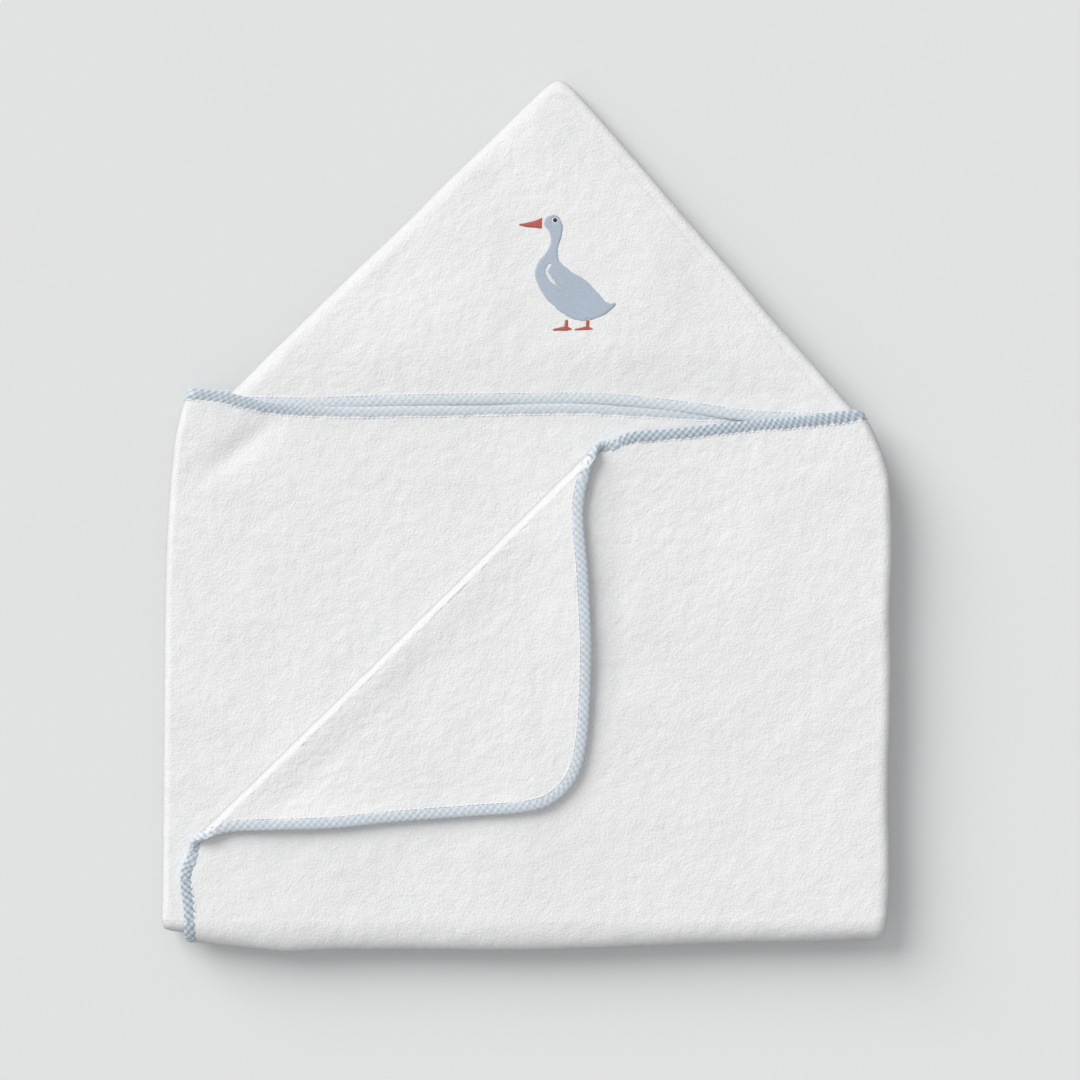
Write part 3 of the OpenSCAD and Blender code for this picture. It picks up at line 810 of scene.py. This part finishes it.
class Nodes:
    """Small helper for wiring a material's nodes."""

    def __init__(self, name):
        material = bpy.data.materials.new(name)
        material.use_nodes = True
        self.tree = material.node_tree
        self.shader = self.tree.nodes["Principled BSDF"]
        materials[name] = material

    def add(self, kind, inputs=None, **settings):
        node = self.tree.nodes.new(kind)
        for key, value in settings.items():
            setattr(node, key, value)
        for key, value in (inputs or {}).items():
            self.feed(node, key, value)
        return node

    def feed(self, node, key, value):
        if isinstance(value, bpy.types.NodeSocket):
            self.tree.links.new(value, node.inputs[key])
        else:
            node.inputs[key].default_value = value

    def math(self, operation, a, b=0.0, c=0.0):
        return self.add("ShaderNodeMath", {0: a, 1: b, 2: c}, operation=operation).outputs[0]

    def weighted(self, *parts):
        """Sum of (value, weight) pairs."""
        terms = [self.math("MULTIPLY", value, weight) for value, weight in parts]
        total = terms[0]
        for term in terms[1:]:
            total = self.math("ADD", total, term)
        return total

    def clamp(self, value):
        return self.add("ShaderNodeClamp", {"Value": value}).outputs[0]

    def mix(self, share, a, b):
        """Mix of two colours, each a socket or levels out of 255."""
        node = self.add("ShaderNodeMix", data_type="RGBA")
        self.feed(node, 0, share)
        for key, colour in ((6, a), (7, b)):
            self.feed(node, key, linear(colour) if isinstance(colour, tuple) else colour)
        return node.outputs[2]

    def place(self):
        return self.add("ShaderNodeTexCoord").outputs["Object"]

    def noise(self, place, per_metre, detail=2.0, roughness=0.5):
        return self.add("ShaderNodeTexNoise", {"Vector": place, "Scale": per_metre, "Detail": detail,
                                               "Roughness": roughness}).outputs["Fac"]

    def cells(self, place, per_metre):
        return self.add("ShaderNodeTexVoronoi", {"Vector": place, "Scale": per_metre},
                        feature="SMOOTH_F1").outputs["Distance"]

    def bump(self, height, distance, strength):
        return self.add("ShaderNodeBump", {"Height": height, "Distance": distance,
                                           "Strength": strength}).outputs["Normal"]

    def finish(self, **inputs):
        for key, value in inputs.items():
            self.feed(self.shader, key.replace("_", " "), value)


def terry(name, bright, shade):
    m = Nodes(name)
    place = m.place()
    loops = m.cells(place, 780.0)
    clumps = m.noise(place, 380.0, 3.0, 0.6)
    fuzz = m.noise(place, 1500.0, 2.0, 0.7)
    height = m.weighted((loops, -0.55), (clumps, 0.7), (fuzz, 0.35))
    soft = m.noise(place, 22.0, 3.0, 0.5)
    worn = m.noise(place, 120.0, 3.0, 0.6)
    # Painted shade: the colour runs darker where the pile's bump is low, in its hollows; the soft and worn noises are
    # random tone
    painted_hollow_shade = m.math("MULTIPLY_ADD", clumps, -1.5, 1.15)
    tone = m.clamp(m.weighted((painted_hollow_shade, 0.3), (soft, 0.35), (worn, 0.3)))
    # Painted shade: the colour darkens towards grey where the surface turns away from straight up, so that turned
    # edges and the roll at the crease read less bright under the lamp
    normal = m.add("ShaderNodeNewGeometry").outputs["Normal"]
    facing = m.add("ShaderNodeSeparateXYZ", {"Vector": normal})
    level = m.math("ABSOLUTE", facing.outputs["Z"])
    painted_edge_shade = m.add("ShaderNodeMapRange", {"Value": level, "From Min": 0.45, "From Max": 0.97,
                                             "To Min": 0.62, "To Max": 0.0}).outputs[0]
    m.finish(Base_Color=m.mix(painted_edge_shade, m.mix(tone, bright, shade), (146, 148, 149)),
             Roughness=0.95, Sheen_Weight=0.25, Sheen_Roughness=0.6, Specular_IOR_Level=0.15,
             Normal=m.bump(height, 0.0011, 0.42))


def gingham():
    m = Nodes("gingham")
    u, v, tone = (m.add("ShaderNodeAttribute", attribute_name=key).outputs["Fac"]
                  for key in ("tape_u", "tape_v", "tape_tone"))
    stripes = []
    for sign, weight in ((1.0, 0.64), (-1.0, 0.36)):
        slant = m.math("ADD", u, m.math("MULTIPLY", v, sign))
        wave = m.math("SINE", m.math("MULTIPLY", slant, 2 * math.pi / STRIPE_PITCH))
        stripes.append((m.clamp(m.math("MULTIPLY_ADD", wave, 1.2, 0.5)), weight))
    both = m.weighted(*stripes)
    faint = m.mix(both, (253, 255, 255), (224, 241, 254))
    # Painted shade, in part: the strong palette's darker stripes stand for the checks and for the shade on edges that
    # lie in shade
    strong = m.mix(both, (236, 245, 252), (148, 174, 193))
    checked = m.mix(tone, faint, strong)
    yarns = [m.math("SINE", m.math("MULTIPLY", m.math(way, u, v), 14.0)) for way in ("ADD", "SUBTRACT")]
    weave = m.math("MULTIPLY", *yarns)
    wear = m.noise(m.place(), 160.0)
    colour = m.mix(m.math("MULTIPLY", wear, 0.15), checked, (248, 251, 253))
    m.finish(Base_Color=colour, Roughness=0.82, Sheen_Weight=0.15, Specular_IOR_Level=0.25,
             Normal=m.bump(m.math("ADD", weave, m.math("MULTIPLY", wear, 3.0)), 0.00012, 0.8))


# Radians of the satin stitches' wave per metre across the threads
SATIN_WAVE = 15072.0


def stitching(name, colour, dark, angle):
    """Satin-stitched fill: thread lines at an angle, with broken ends."""
    m = Nodes(name)
    place = m.place()
    turned = m.add("ShaderNodeMapping", {"Vector": place, "Rotation": (0, 0, math.radians(angle))})
    axes = m.add("ShaderNodeSeparateXYZ", {"Vector": turned.outputs[0]})
    drift = m.noise(place, 260.0, 2.0)
    across = m.math("MULTIPLY_ADD", axes.outputs["Y"], SATIN_WAVE, m.math("MULTIPLY", drift, 5.0))
    lines = m.math("MULTIPLY_ADD", m.math("SINE", across), 0.5, 0.5)
    speck = m.noise(place, 900.0, 2.0, 0.7)
    # Painted shade: the colour darkens in the grooves between the thread lines, where the bump is low; the specks are
    # random tone
    tone = m.clamp(m.weighted((lines, -0.35), (speck, 0.9)))
    height = m.math("ADD", lines, m.math("MULTIPLY", speck, 1.2))
    m.finish(Base_Color=m.mix(tone, colour, dark), Roughness=0.6, Sheen_Weight=0.2,
             Specular_IOR_Level=0.35, Normal=m.bump(height, 0.00016, 0.9))


def plain_thread(name, colour):
    m = Nodes(name)
    twist = m.noise(m.place(), 2600.0)
    m.finish(Base_Color=m.mix(m.math("MULTIPLY", twist, 0.3), colour, (200, 208, 214)),
             Roughness=0.7, Specular_IOR_Level=0.3, Normal=m.bump(twist, 0.00008, 0.8))


terry("terry", (246, 246, 246), (223, 223, 224))
# Painted shade: the hood has its own, slightly darker copy of the terry, so that its puffed top, which leans towards
# the lamp, reads no brighter than the body
terry("terry_hood", (243, 243, 243), (220, 220, 221))
gingham()
plain_thread("thread", (238, 243, 247))
plain_thread("backing", (240, 240, 238))
stitching("blue_grey", (198, 210, 223), (156, 174, 193), 38)
stitching("coral", (208, 106, 96), (172, 78, 70), 62)
stitching("dark", (40, 46, 54), (22, 26, 32), 0)
stitching("white", (238, 242, 246), (208, 216, 224), 40)


# ---- Terry panels ----

# Spacing of the grids on the faces in view and on most hidden ones
FINE = 1.7
COARSE = 4.5


def attach(piece, body, *nodes):
    """Puts a piece on a body, or blends it with what blend() gave, in place of CAD nodes."""
    if callable(body):
        body(piece)
    else:
        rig.ride(piece, body)
    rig.replaces(piece, *nodes)


def blend(first, second, start, end):
    """A way to attach a piece that passes from one body to another between two places."""
    start, end = (tuple(v * MM for v in place) for place in (start, end))
    return lambda piece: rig.blend(piece, first, second, start=start, end=end)


def across_bend(level):
    inner = level - LAYER / 2 - 0.05
    return blend("upper_half", "lower_half", (0, HALF_Y, HALF_Z + inner), (0, HALF_Y, HALF_Z - inner))


def across_crease(low, high):
    """Between two heights above the wing."""
    return blend("upper_half", "turned_corner", (*crease_pin, RIGHT_Z + low),
                 (*crease_pin, RIGHT_Z + high))


# The hood's loose front edge stays on the stack when the hood is lifted
ACROSS_MOUTH = blend("upper_half", "hood", (0, NECK_Y - 10, NECK_Z), (0, NECK_Y + 16, NECK_Z))
ACROSS_NECK = blend("upper_half", "hood", (0, NECK_Y - 4, NECK_Z), (0, NECK_Y + 4, NECK_Z))


def bound_side(x, top, radius=CORNER_R):
    """A wing's free side with its rounded top corner, from the half fold up."""
    inward = -1 if x > 0 else 1
    base = top(np.array([x + inward * radius]))[0] - radius
    turns = np.linspace(0, math.pi / 2, 14)[1:]
    return [(x, HALF_Y), (x, base)] + [
        (x + inward * radius * (1 - math.cos(t)), base + radius * math.sin(t)) for t in turns]


def vertical(x, top):
    return [(x, HALF_Y), (x, top(np.array([float(x)]))[0])]


# Unrolled places where the wings' side folds end and the centre begins
RIGHT_END = RIGHT_AXIS + math.pi * WRAP_R
LEFT_END = LEFT_AXIS - math.pi * TIGHT_R
# How far a terry edge lies inside its binding's outer edge
EDGE_IN = 3.0

wing_side = resample([(RIGHT_FREE_X + 2.0, HALF_Y - 4), (RIGHT_FREE_X + 1.2, -150),
                      (RIGHT_FREE_X - 0.6, -138), (RIGHT_FREE_X - 0.4, -127),
                      crease_point(FOOT_IN, ROLL_SET)[0]], TAPE_STEP)
wing_side = wing_side[wing_side[:, 1] >= HALF_Y - 0.7]
wing_side[0, 1] = HALF_Y
crease_line = crease_point(np.linspace(FOOT_IN, TOP_IN, 200), np.full(200, ROLL_SET))

HIGH = np.linspace(0, 1, int((RIGHT_TOP - HALF_Y) / FINE))


def build_right_wing_upper():
    left = np.vstack([wing_side + (EDGE_IN, 0), crease_line[1:]])
    left[:, 0] = np.maximum.accumulate(left[:, 0])
    q = rows_grid(left, vertical(RIGHT_END, right_top), lambda u: right_top(u) - EDGE_IN, HALF_Y,
                  HIGH, spaced(RIGHT_END - RIGHT_FREE_X, FINE))
    attach(shell("right_wing_front", upper(right_wing), q), "upper_half",
           "right_wing_upper_panel", "right_fold_upper")


def build_left_wing_upper():
    top = lambda u: left_top(u) - EDGE_IN
    columns = np.concatenate([np.linspace(0, 0.72, 150), np.linspace(0.72, 1, 26)[1:]])
    rows = np.concatenate([np.linspace(0, 0.1, 8), np.linspace(0.1, 1, 170)[1:]])
    free = bound_side(LEFT_FREE_X - EDGE_IN, top, TUCKED_R)
    q = rows_grid(vertical(LEFT_END, top), free, top, HALF_Y, rows, columns)
    attach(shell("left_wing_front", upper(left_wing), q), "upper_half",
           "left_wing_upper_panel", "left_fold_upper")


def build_centre(name, place, top, body, node):
    q = rows_grid(vertical(LEFT_AXIS, top), vertical(RIGHT_AXIS, top), lambda u: top(u) - EDGE_IN,
                  HALF_Y, spaced(330, COARSE), spaced(RIGHT_AXIS - LEFT_AXIS, COARSE))
    attach(shell(name, place, q), body, node)


def level_top(value):
    return lambda u: np.full(len(u), value)


def build_lower_wing(name, sheet, free_x, top, end, fine, nodes):
    edge = level_top(top - EDGE_IN)
    inset = EDGE_IN if free_x < end else -EDGE_IN
    free, folded = bound_side(free_x + inset, edge), vertical(end, edge)
    left, right = (free, folded) if free_x < end else (folded, free)
    q = rows_grid(left, right, edge, HALF_Y, spaced(top - HALF_Y, fine),
                  spaced(abs(end - free_x), fine))
    attach(shell(name, lower(sheet), q), "lower_half", *nodes)


def build_bend(name, sheet, level, u0, u1, fine, node):
    us = np.linspace(u0, u1, int(abs(u1 - u0) / fine))
    vs = HALF_Y - np.linspace(0, math.pi * level, max(10, int(math.pi * level / fine * 1.3)))
    q = np.dstack(np.meshgrid(us, vs, indexing="ij"))
    attach(shell(name, bend(sheet), q), across_bend(level), node)


# How far the crease's terry ends inside its binding
ROLL_IN = 4.5
# Heights above the wing between which the crease's terry and its binding pass to the corner
ROLL_TURN = (LAYER / 2 + 0.1, 2 * ROLL_MID - LAYER / 2 - 0.1)
TRIM_TURN = (3.1, 3.9)


def build_corner():
    edge = to_crease(resample(CORNER_EDGE, 2.0))[::-1]
    s = np.linspace(FOOT_OUT, TOP_OUT, int((TOP_OUT - FOOT_OUT) / FINE))
    depth = np.interp(s, edge[:, 0], edge[:, 1])
    inset = EDGE_IN * 1.4 * ease((depth - ROLL_SET) / 8)
    t = np.linspace(0, 1, 105)
    deep = np.maximum(depth - inset - ROLL_SET, 0.1)
    q = np.dstack([np.repeat(s[:, None], len(t), 1), ROLL_SET + deep[:, None] * t[None, :]])
    attach(shell("turned_corner_panel", turned_corner, q), "turned_corner", "corner_panel")
    round_it = np.linspace(0, 1, 16)
    start = FOOT_IN + ROLL_IN + (FOOT_OUT - FOOT_IN) * round_it
    stop = TOP_IN - ROLL_IN + (TOP_OUT - TOP_IN) * round_it
    t = np.linspace(0, 1, int((TOP_IN - FOOT_IN) / FINE))[:, None]
    q = np.dstack([start + (stop - start) * t, np.repeat(ROLL_GIRTH * round_it[None, :], len(t), 0)])
    attach(shell("corner_crease_roll", round_crease, q), across_crease(*ROLL_TURN), "corner_crease")


def hood_grid(x, foot, rows):
    """Grid from the foot up to the hood's outline, closer together towards the outline."""
    t = 1 - (1 - np.linspace(0, 1, rows)) ** 1.35
    head = np.maximum(hood_top(x), foot + 0.6)
    return np.dstack([np.repeat(x[:, None], len(t), 1), foot[:, None] + (head - foot)[:, None] * t])


def build_hood():
    x = np.linspace(HOOD_LEFT + 1.5, HOOD_RIGHT + 5, int((HOOD_RIGHT - HOOD_LEFT) / FINE))
    q = hood_grid(x, hood_face(x) + EDGE_IN, 120)
    attach(shell("hood_front", hood_front, q, "terry_hood"), ACROSS_MOUTH,
           "hood_front_panel", "hood_left_fold")
    x = np.linspace(HOOD_LEFT + 2.5, HOOD_RIGHT - 1.5, int((HOOD_RIGHT - HOOD_LEFT) / 2.4))
    q = hood_grid(x, np.full(len(x), 1.2), 80)
    attach(shell("hood_back", hood_back, q, "terry_hood"), "hood",
           "hood_back_panel", "hood_right_seam")
    us = np.linspace(HOOD_LEFT + 8, HOOD_RIGHT - 8, 150)
    q = np.dstack(np.meshgrid(us, NECK_Y + np.linspace(-9, 8, 12), indexing="ij"))
    attach(shell("neck_seam_strip", neck, q, "terry_hood", 0.4), ACROSS_NECK, "neck_seam")


build_right_wing_upper()
build_left_wing_upper()
build_centre("centre_front", upper(centre), centre_top, "upper_half", "centre_upper_panel")
build_centre("centre_behind", lower(centre), centre_lower_top, "lower_half", "centre_lower_panel")
build_lower_wing("right_wing_behind", right_wing, RIGHT_FREE_X, RIGHT_LOWER_TOP, RIGHT_END, 2.2,
                 ("right_wing_lower_panel", "right_fold_lower"))
build_lower_wing("left_wing_behind", left_wing, LEFT_FREE_X, LEFT_LOWER_TOP, LEFT_END, COARSE,
                 ("left_wing_lower_panel", "left_fold_lower"))
build_bend("fold_centre", centre, CENTRE_RHO, LEFT_AXIS, RIGHT_AXIS, COARSE, "half_fold_centre")
build_bend("fold_left_wing", left_wing, LEFT_RHO, LEFT_END, LEFT_FREE_X - EDGE_IN, 3.0,
           "half_fold_left_wing")
build_bend("fold_right_wing", right_wing, RIGHT_RHO, wing_side[0, 0] + EDGE_IN, RIGHT_END, FINE,
           "half_fold_right_wing")
build_corner()
build_hood()


# ---- Bound edges ----

def wing_path(free_x, top, end, radius=CORNER_R):
    """Up a wing's free side, round its corner and along its top edge to the far side of its fold."""
    top_y = top(np.array([float(free_x)]))[0]
    path = rounded([(free_x, HALF_Y), (free_x, top_y), (end, top_y)], radius, TAPE_STEP)
    bend_at = ease((np.abs(path[:, 0] - free_x) - radius * 0.3) / radius)
    path[:, 1] += (top(path[:, 0]) - top_y) * bend_at
    return path


def fold_path(u, level):
    down = np.linspace(0, math.pi * level, int(math.pi * level / 1.2))
    return np.array([(u, HALF_Y - t) for t in down])


def bound(name, place, path, outward, lean, tone, body, *nodes):
    attach(tape(name, place, path, outward, lean, tone), body, *nodes)


# Steps of tape that belong to the crease, on either side of it
CROSSING = 12


def crossing_path(corner_part, wing_part):
    """From the turned corner's edge, round the crease and on along the wing's edge."""
    corner = corner_part[::-1] + (0, ROLL_GIRTH - ROLL_SET)
    wing = to_crease(wing_part) * (1, -1) + (0, ROLL_SET)
    return resample(np.vstack([corner[:-2:3], corner[-1], wing[0], wing[3::3], wing[-1]]), 1.1)


top_steps = np.arange(TOP_X, RIGHT_END, TAPE_STEP)
wing_top_path = np.column_stack([top_steps, right_top(top_steps)])
corner_path = to_crease(resample(CORNER_EDGE, TAPE_STEP))
left_path = wing_path(LEFT_FREE_X, left_top, LEFT_END, TUCKED_R)
lower_right_path = wing_path(RIGHT_FREE_X, level_top(RIGHT_LOWER_TOP), RIGHT_END)
lower_right_path[0, 0] = wing_side[0, 0]
lower_left_path = wing_path(LEFT_FREE_X, level_top(LEFT_LOWER_TOP), LEFT_END)
centre_steps = np.linspace(LEFT_AXIS, RIGHT_AXIS, 200)
face_steps = np.linspace(HOOD_LEFT + 6, HOOD_RIGHT + 3, 310)
face_path = np.column_stack([face_steps, hood_face(face_steps)])

# How strongly the checks show on the right wing, on the turned corner and on the hidden half; the darker stripes are
# partly painted shade, strongest on the right wing's edges
WING_CHECKS_AND_SHADE, CORNER_CHECKS_AND_SHADE, HIDDEN_CHECKS_AND_SHADE = 0.85, 0.3, 0.5

bound("trim_right_wing_top", upper(right_wing), wing_top_path[CROSSING:], -1, 1, WING_CHECKS_AND_SHADE,
      "upper_half", "binding_right_wing_top", "binding_fold_wraps_upper")
bound("trim_right_wing_side", upper(right_wing), wing_side[:-CROSSING], -1, 1, WING_CHECKS_AND_SHADE,
      "upper_half", "binding_right_wing_side")
# Painted shade, in part: the checks darken towards the left wing's far end
bound("trim_left_wing", upper(left_wing), left_path, 1, -1,
      0.6 * ease((-105 - left_path[:, 0]) / 60) + 0.06, "upper_half", "binding_left_wing_upper")
bound("trim_centre_top", upper(centre), np.column_stack([centre_steps, centre_top(centre_steps)]), -1,
      1, 0.3, "upper_half", "binding_centre_top")
bound("trim_right_wing_behind", lower(right_wing), lower_right_path, -1, 1, HIDDEN_CHECKS_AND_SHADE,
      "lower_half", "binding_right_wing_lower", "binding_fold_wraps_lower")
bound("trim_left_wing_behind", lower(left_wing), lower_left_path, 1, -1, HIDDEN_CHECKS_AND_SHADE, "lower_half",
      "binding_left_wing_lower")
bound("trim_centre_behind", lower(centre),
      np.column_stack([centre_steps, centre_lower_top(centre_steps)]), -1, 1, HIDDEN_CHECKS_AND_SHADE,
      "lower_half", "binding_centre_lower")
bound("trim_turned_corner", turned_corner, corner_path[CROSSING:-CROSSING], 1, 1, CORNER_CHECKS_AND_SHADE,
      "turned_corner", "corner_binding")
bound("trim_hood_face", hood_front, face_path, 1, -1, 0.1, ACROSS_MOUTH, "hood_face_binding")
for name, sheet, level, trim_u, outward in (
        ("trim_fold_right_wing", right_wing, RIGHT_RHO, wing_side[0, 0], 1),
        ("trim_fold_left_wing", left_wing, LEFT_RHO, LEFT_FREE_X, -1)):
    bound(name, bend(sheet), fold_path(trim_u, level), outward, 1, WING_CHECKS_AND_SHADE,
          across_bend(level), "half_fold_binding")
for name, path, outward in (
        ("trim_crease_top",
         crossing_path(corner_path[:CROSSING + 1], wing_top_path[:CROSSING + 1]), -1),
        ("trim_crease_foot",
         crossing_path(corner_path[:-CROSSING - 2:-1], wing_side[:-CROSSING - 2:-1]), 1)):
    tone = np.linspace(CORNER_CHECKS_AND_SHADE, WING_CHECKS_AND_SHADE, len(path))
    bound(name, round_crease, path, outward, 1, tone, across_crease(*TRIM_TURN),
          "corner_crease_binding")

for name, body, node, runs in (
        ("stitches_front", "upper_half", "binding_thread_upper",
         [(upper(right_wing), wing_top_path[CROSSING:], -1),
          (upper(right_wing), wing_side[:-CROSSING], -1), (upper(left_wing), left_path, 1)]),
        ("stitches_behind", "lower_half", "binding_thread_lower",
         [(lower(right_wing), lower_right_path, -1)]),
        ("stitches_corner", "turned_corner", "corner_thread",
         [(turned_corner, corner_path[CROSSING:-CROSSING], 1)]),
        ("stitches_hood", ACROSS_MOUTH, "hood_face_thread", [(hood_front, face_path, 1)])):
    attach(stitches(name, runs), body, node)


# ---- Stitched goose motif ----

def node_loops(name):
    """Outline loops of a CAD node's upper face, in the hood's plane."""
    mesh = frame["nodes"][name].data
    points = np.array([v.co for v in mesh.vertices]) / MM
    up = np.array([0, SLOPE_S, SLOPE_C])
    ids, places = {}, []
    def merged(k):
        key = tuple(np.round(points[k], 3))
        if key not in ids:
            ids[key] = len(places)
            places.append(points[k])
        return ids[key]
    edges = set()
    for polygon in mesh.polygons:
        if np.array(polygon.normal) @ up < 0.9:
            continue
        ring = [merged(k) for k in polygon.vertices]
        for a, b in zip(ring, ring[1:] + ring[:1]):
            if (b, a) in edges:
                edges.remove((b, a))
            else:
                edges.add((a, b))
    following = dict(edges)
    loops = []
    while following:
        start, here = next(iter(following.items()))
        loop = [start]
        del following[start]
        while here != start:
            loop.append(here)
            here = following.pop(here)
        x, y, z = np.array(places)[loop].T
        loops.append(np.column_stack([x, (y - NECK_Y) * SLOPE_C - (z - NECK_Z) * SLOPE_S]))
    return loops


def sides(loops):
    return [side for loop in loops for side in zip(loop, np.roll(loop, -1, axis=0))]


def inside(p, loops):
    odd = np.zeros(len(p), bool)
    for a, b in sides(loops):
        crosses = (a[1] > p[:, 1]) != (b[1] > p[:, 1])
        x = a[0] + (p[:, 1] - a[1]) * (b[0] - a[0]) / (b[1] - a[1] + 1e-12)
        odd ^= crosses & (p[:, 0] < x)
    return odd


def edge_distance(p, loops):
    best = np.full(len(p), 1e9)
    for a, b in sides(loops):
        along = np.clip(((p - a) @ (b - a)) / max((b - a) @ (b - a), 1e-9), 0, 1)
        best = np.minimum(best, np.linalg.norm(p - (a + along[:, None] * (b - a)), axis=1))
    return best


def stitched_patch(name, material, spacing, raised):
    """A domed stitched fill over a CAD node's outline, following the hood's surface."""
    loops = node_loops(name)
    edge, edges = [], []
    for loop in loops:
        first = len(edge)
        for a, b in sides([loop]):
            count = max(1, int(np.linalg.norm(b - a) / spacing))
            edge += [a + (b - a) * k / count for k in range(count)]
        size = len(edge) - first
        edges += [(first + k, first + (k + 1) % size) for k in range(size)]
    lo, hi = np.min(edge, axis=0), np.max(edge, axis=0)
    xs = np.arange(lo[0], hi[0], spacing)
    ys = np.arange(lo[1], hi[1], spacing * 0.87)
    field = np.array([(x + spacing / 2 * (j % 2), y) for j, y in enumerate(ys) for x in xs])
    field = field[inside(field, loops)]
    field = field[edge_distance(field, loops) > spacing * 0.45]
    every = [Vector(p) for p in (*edge, *field)]
    places, _, triangles, *_ = delaunay_2d_cdt(every, edges, [], 0, 1e-6)
    places = np.array([tuple(p) for p in places])
    triangles = np.array([t for t in triangles if len(t) == 3])
    triangles = triangles[inside(places[triangles].mean(axis=1), loops)]
    depth = edge_distance(places, loops)
    dome = raised * round_off(depth, 1.3) - 0.15
    ridges = 0.05 * np.sin((places @ np.array([0.62, 0.78])) * 2 * math.pi / 0.9)
    top = hood_front(places, LAYER / 2 + dome + ridges * ease(depth / 0.8))
    bottom = hood_front(places, np.full(len(places), LAYER / 2 - 0.6))
    count = len(places)
    a, b, c = (top[triangles[:, k]] for k in range(3))
    turned = np.cross(b - a, c - a)[:, 2] < 0
    triangles[turned] = triangles[turned][:, ::-1]
    used = dict.fromkeys((int(t[k]), int(t[(k + 1) % 3])) for t in triangles for k in range(3))
    walls = []
    for i, j in used:
        if (j, i) not in used:
            walls += [(j, i, i + count), (j, i + count, j + count)]
    faces = np.vstack([triangles, triangles[:, ::-1] + count, walls])
    attach(add_mesh("stitched_" + name, np.vstack([top, bottom]), faces, material), "hood", name)


stitched_patch("goose_body", "blue_grey", 0.9, 0.5)
stitched_patch("goose_bill", "coral", 0.6, 0.55)
stitched_patch("goose_feet", "coral", 0.5, 0.55)
stitched_patch("goose_eye", "dark", 0.35, 0.65)
stitched_patch("goose_wing_line", "white", 0.35, 0.6)

backing = frame["nodes"]["embroidery_backing"]
backing.data.materials.clear()
backing.data.materials.append(materials["backing"])
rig.slot(backing, SLOTS["backing"])


# ---- Studio ----

# Sky and sun strengths, the sun's apparent width in degrees, and the direction it shines from
SKY, SUN = 0.53, 2.65
SUN_WIDTH = 42
SUN_FROM = (-0.72, 0.69, 0.62)
# Metres across the picture at the top layer, the lens, and the place it looks down on
VIEW_WIDTH = 0.680
LENS = 85
VIEW_AT = (0.00945, 0.0806)


def build_studio():
    floor_mesh = bpy.data.meshes.new("floor")
    half = 9.0
    floor_mesh.from_pydata([(-half, -half, 0), (half, -half, 0), (half, half, 0), (-half, half, 0)],
                           [], [(0, 1, 2, 3)])
    floor = bpy.data.objects.new("floor", floor_mesh)
    bpy.context.scene.collection.objects.link(floor)
    m = Nodes("floor")
    mottle = m.noise(m.place(), 6.0)
    m.finish(Base_Color=m.mix(mottle, (229, 230, 230), (227, 228, 228)), Roughness=0.9,
             Specular_IOR_Level=0.1)
    floor_mesh.materials.append(materials["floor"])
    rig.stage(floor)
    world = bpy.data.worlds.new("studio")
    world.use_nodes = True
    sky = world.node_tree.nodes["Background"]
    sky.inputs["Color"].default_value = (0.985, 0.992, 1.0, 1.0)
    sky.inputs["Strength"].default_value = SKY
    bpy.context.scene.world = world
    lamp = bpy.data.lights.new("key", "SUN")
    lamp.energy = SUN
    lamp.angle = math.radians(SUN_WIDTH)
    lamp.color = (1.0, 0.995, 0.985)
    key = bpy.data.objects.new("key", lamp)
    key.rotation_euler = Vector(SUN_FROM).to_track_quat("Z", "Y").to_euler()
    bpy.context.scene.collection.objects.link(key)


def build_camera():
    data = bpy.data.cameras.new("camera")
    data.lens = LENS
    camera = bpy.data.objects.new("camera", data)
    distance = VIEW_WIDTH / data.sensor_width * data.lens
    camera.location = (*VIEW_AT, RIGHT_Z * MM + distance)
    bpy.context.scene.collection.objects.link(camera)
    bpy.context.scene.camera = camera


build_studio()
build_camera()
bpy.context.scene.view_settings.view_transform = "Standard"

look_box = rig.bounds()
with open(SIZE_FILE, "w") as size_file:
    json.dump({"cad": [list(corner) for corner in cad_box],
               "visual": [list(corner) for corner in look_box]}, size_file)
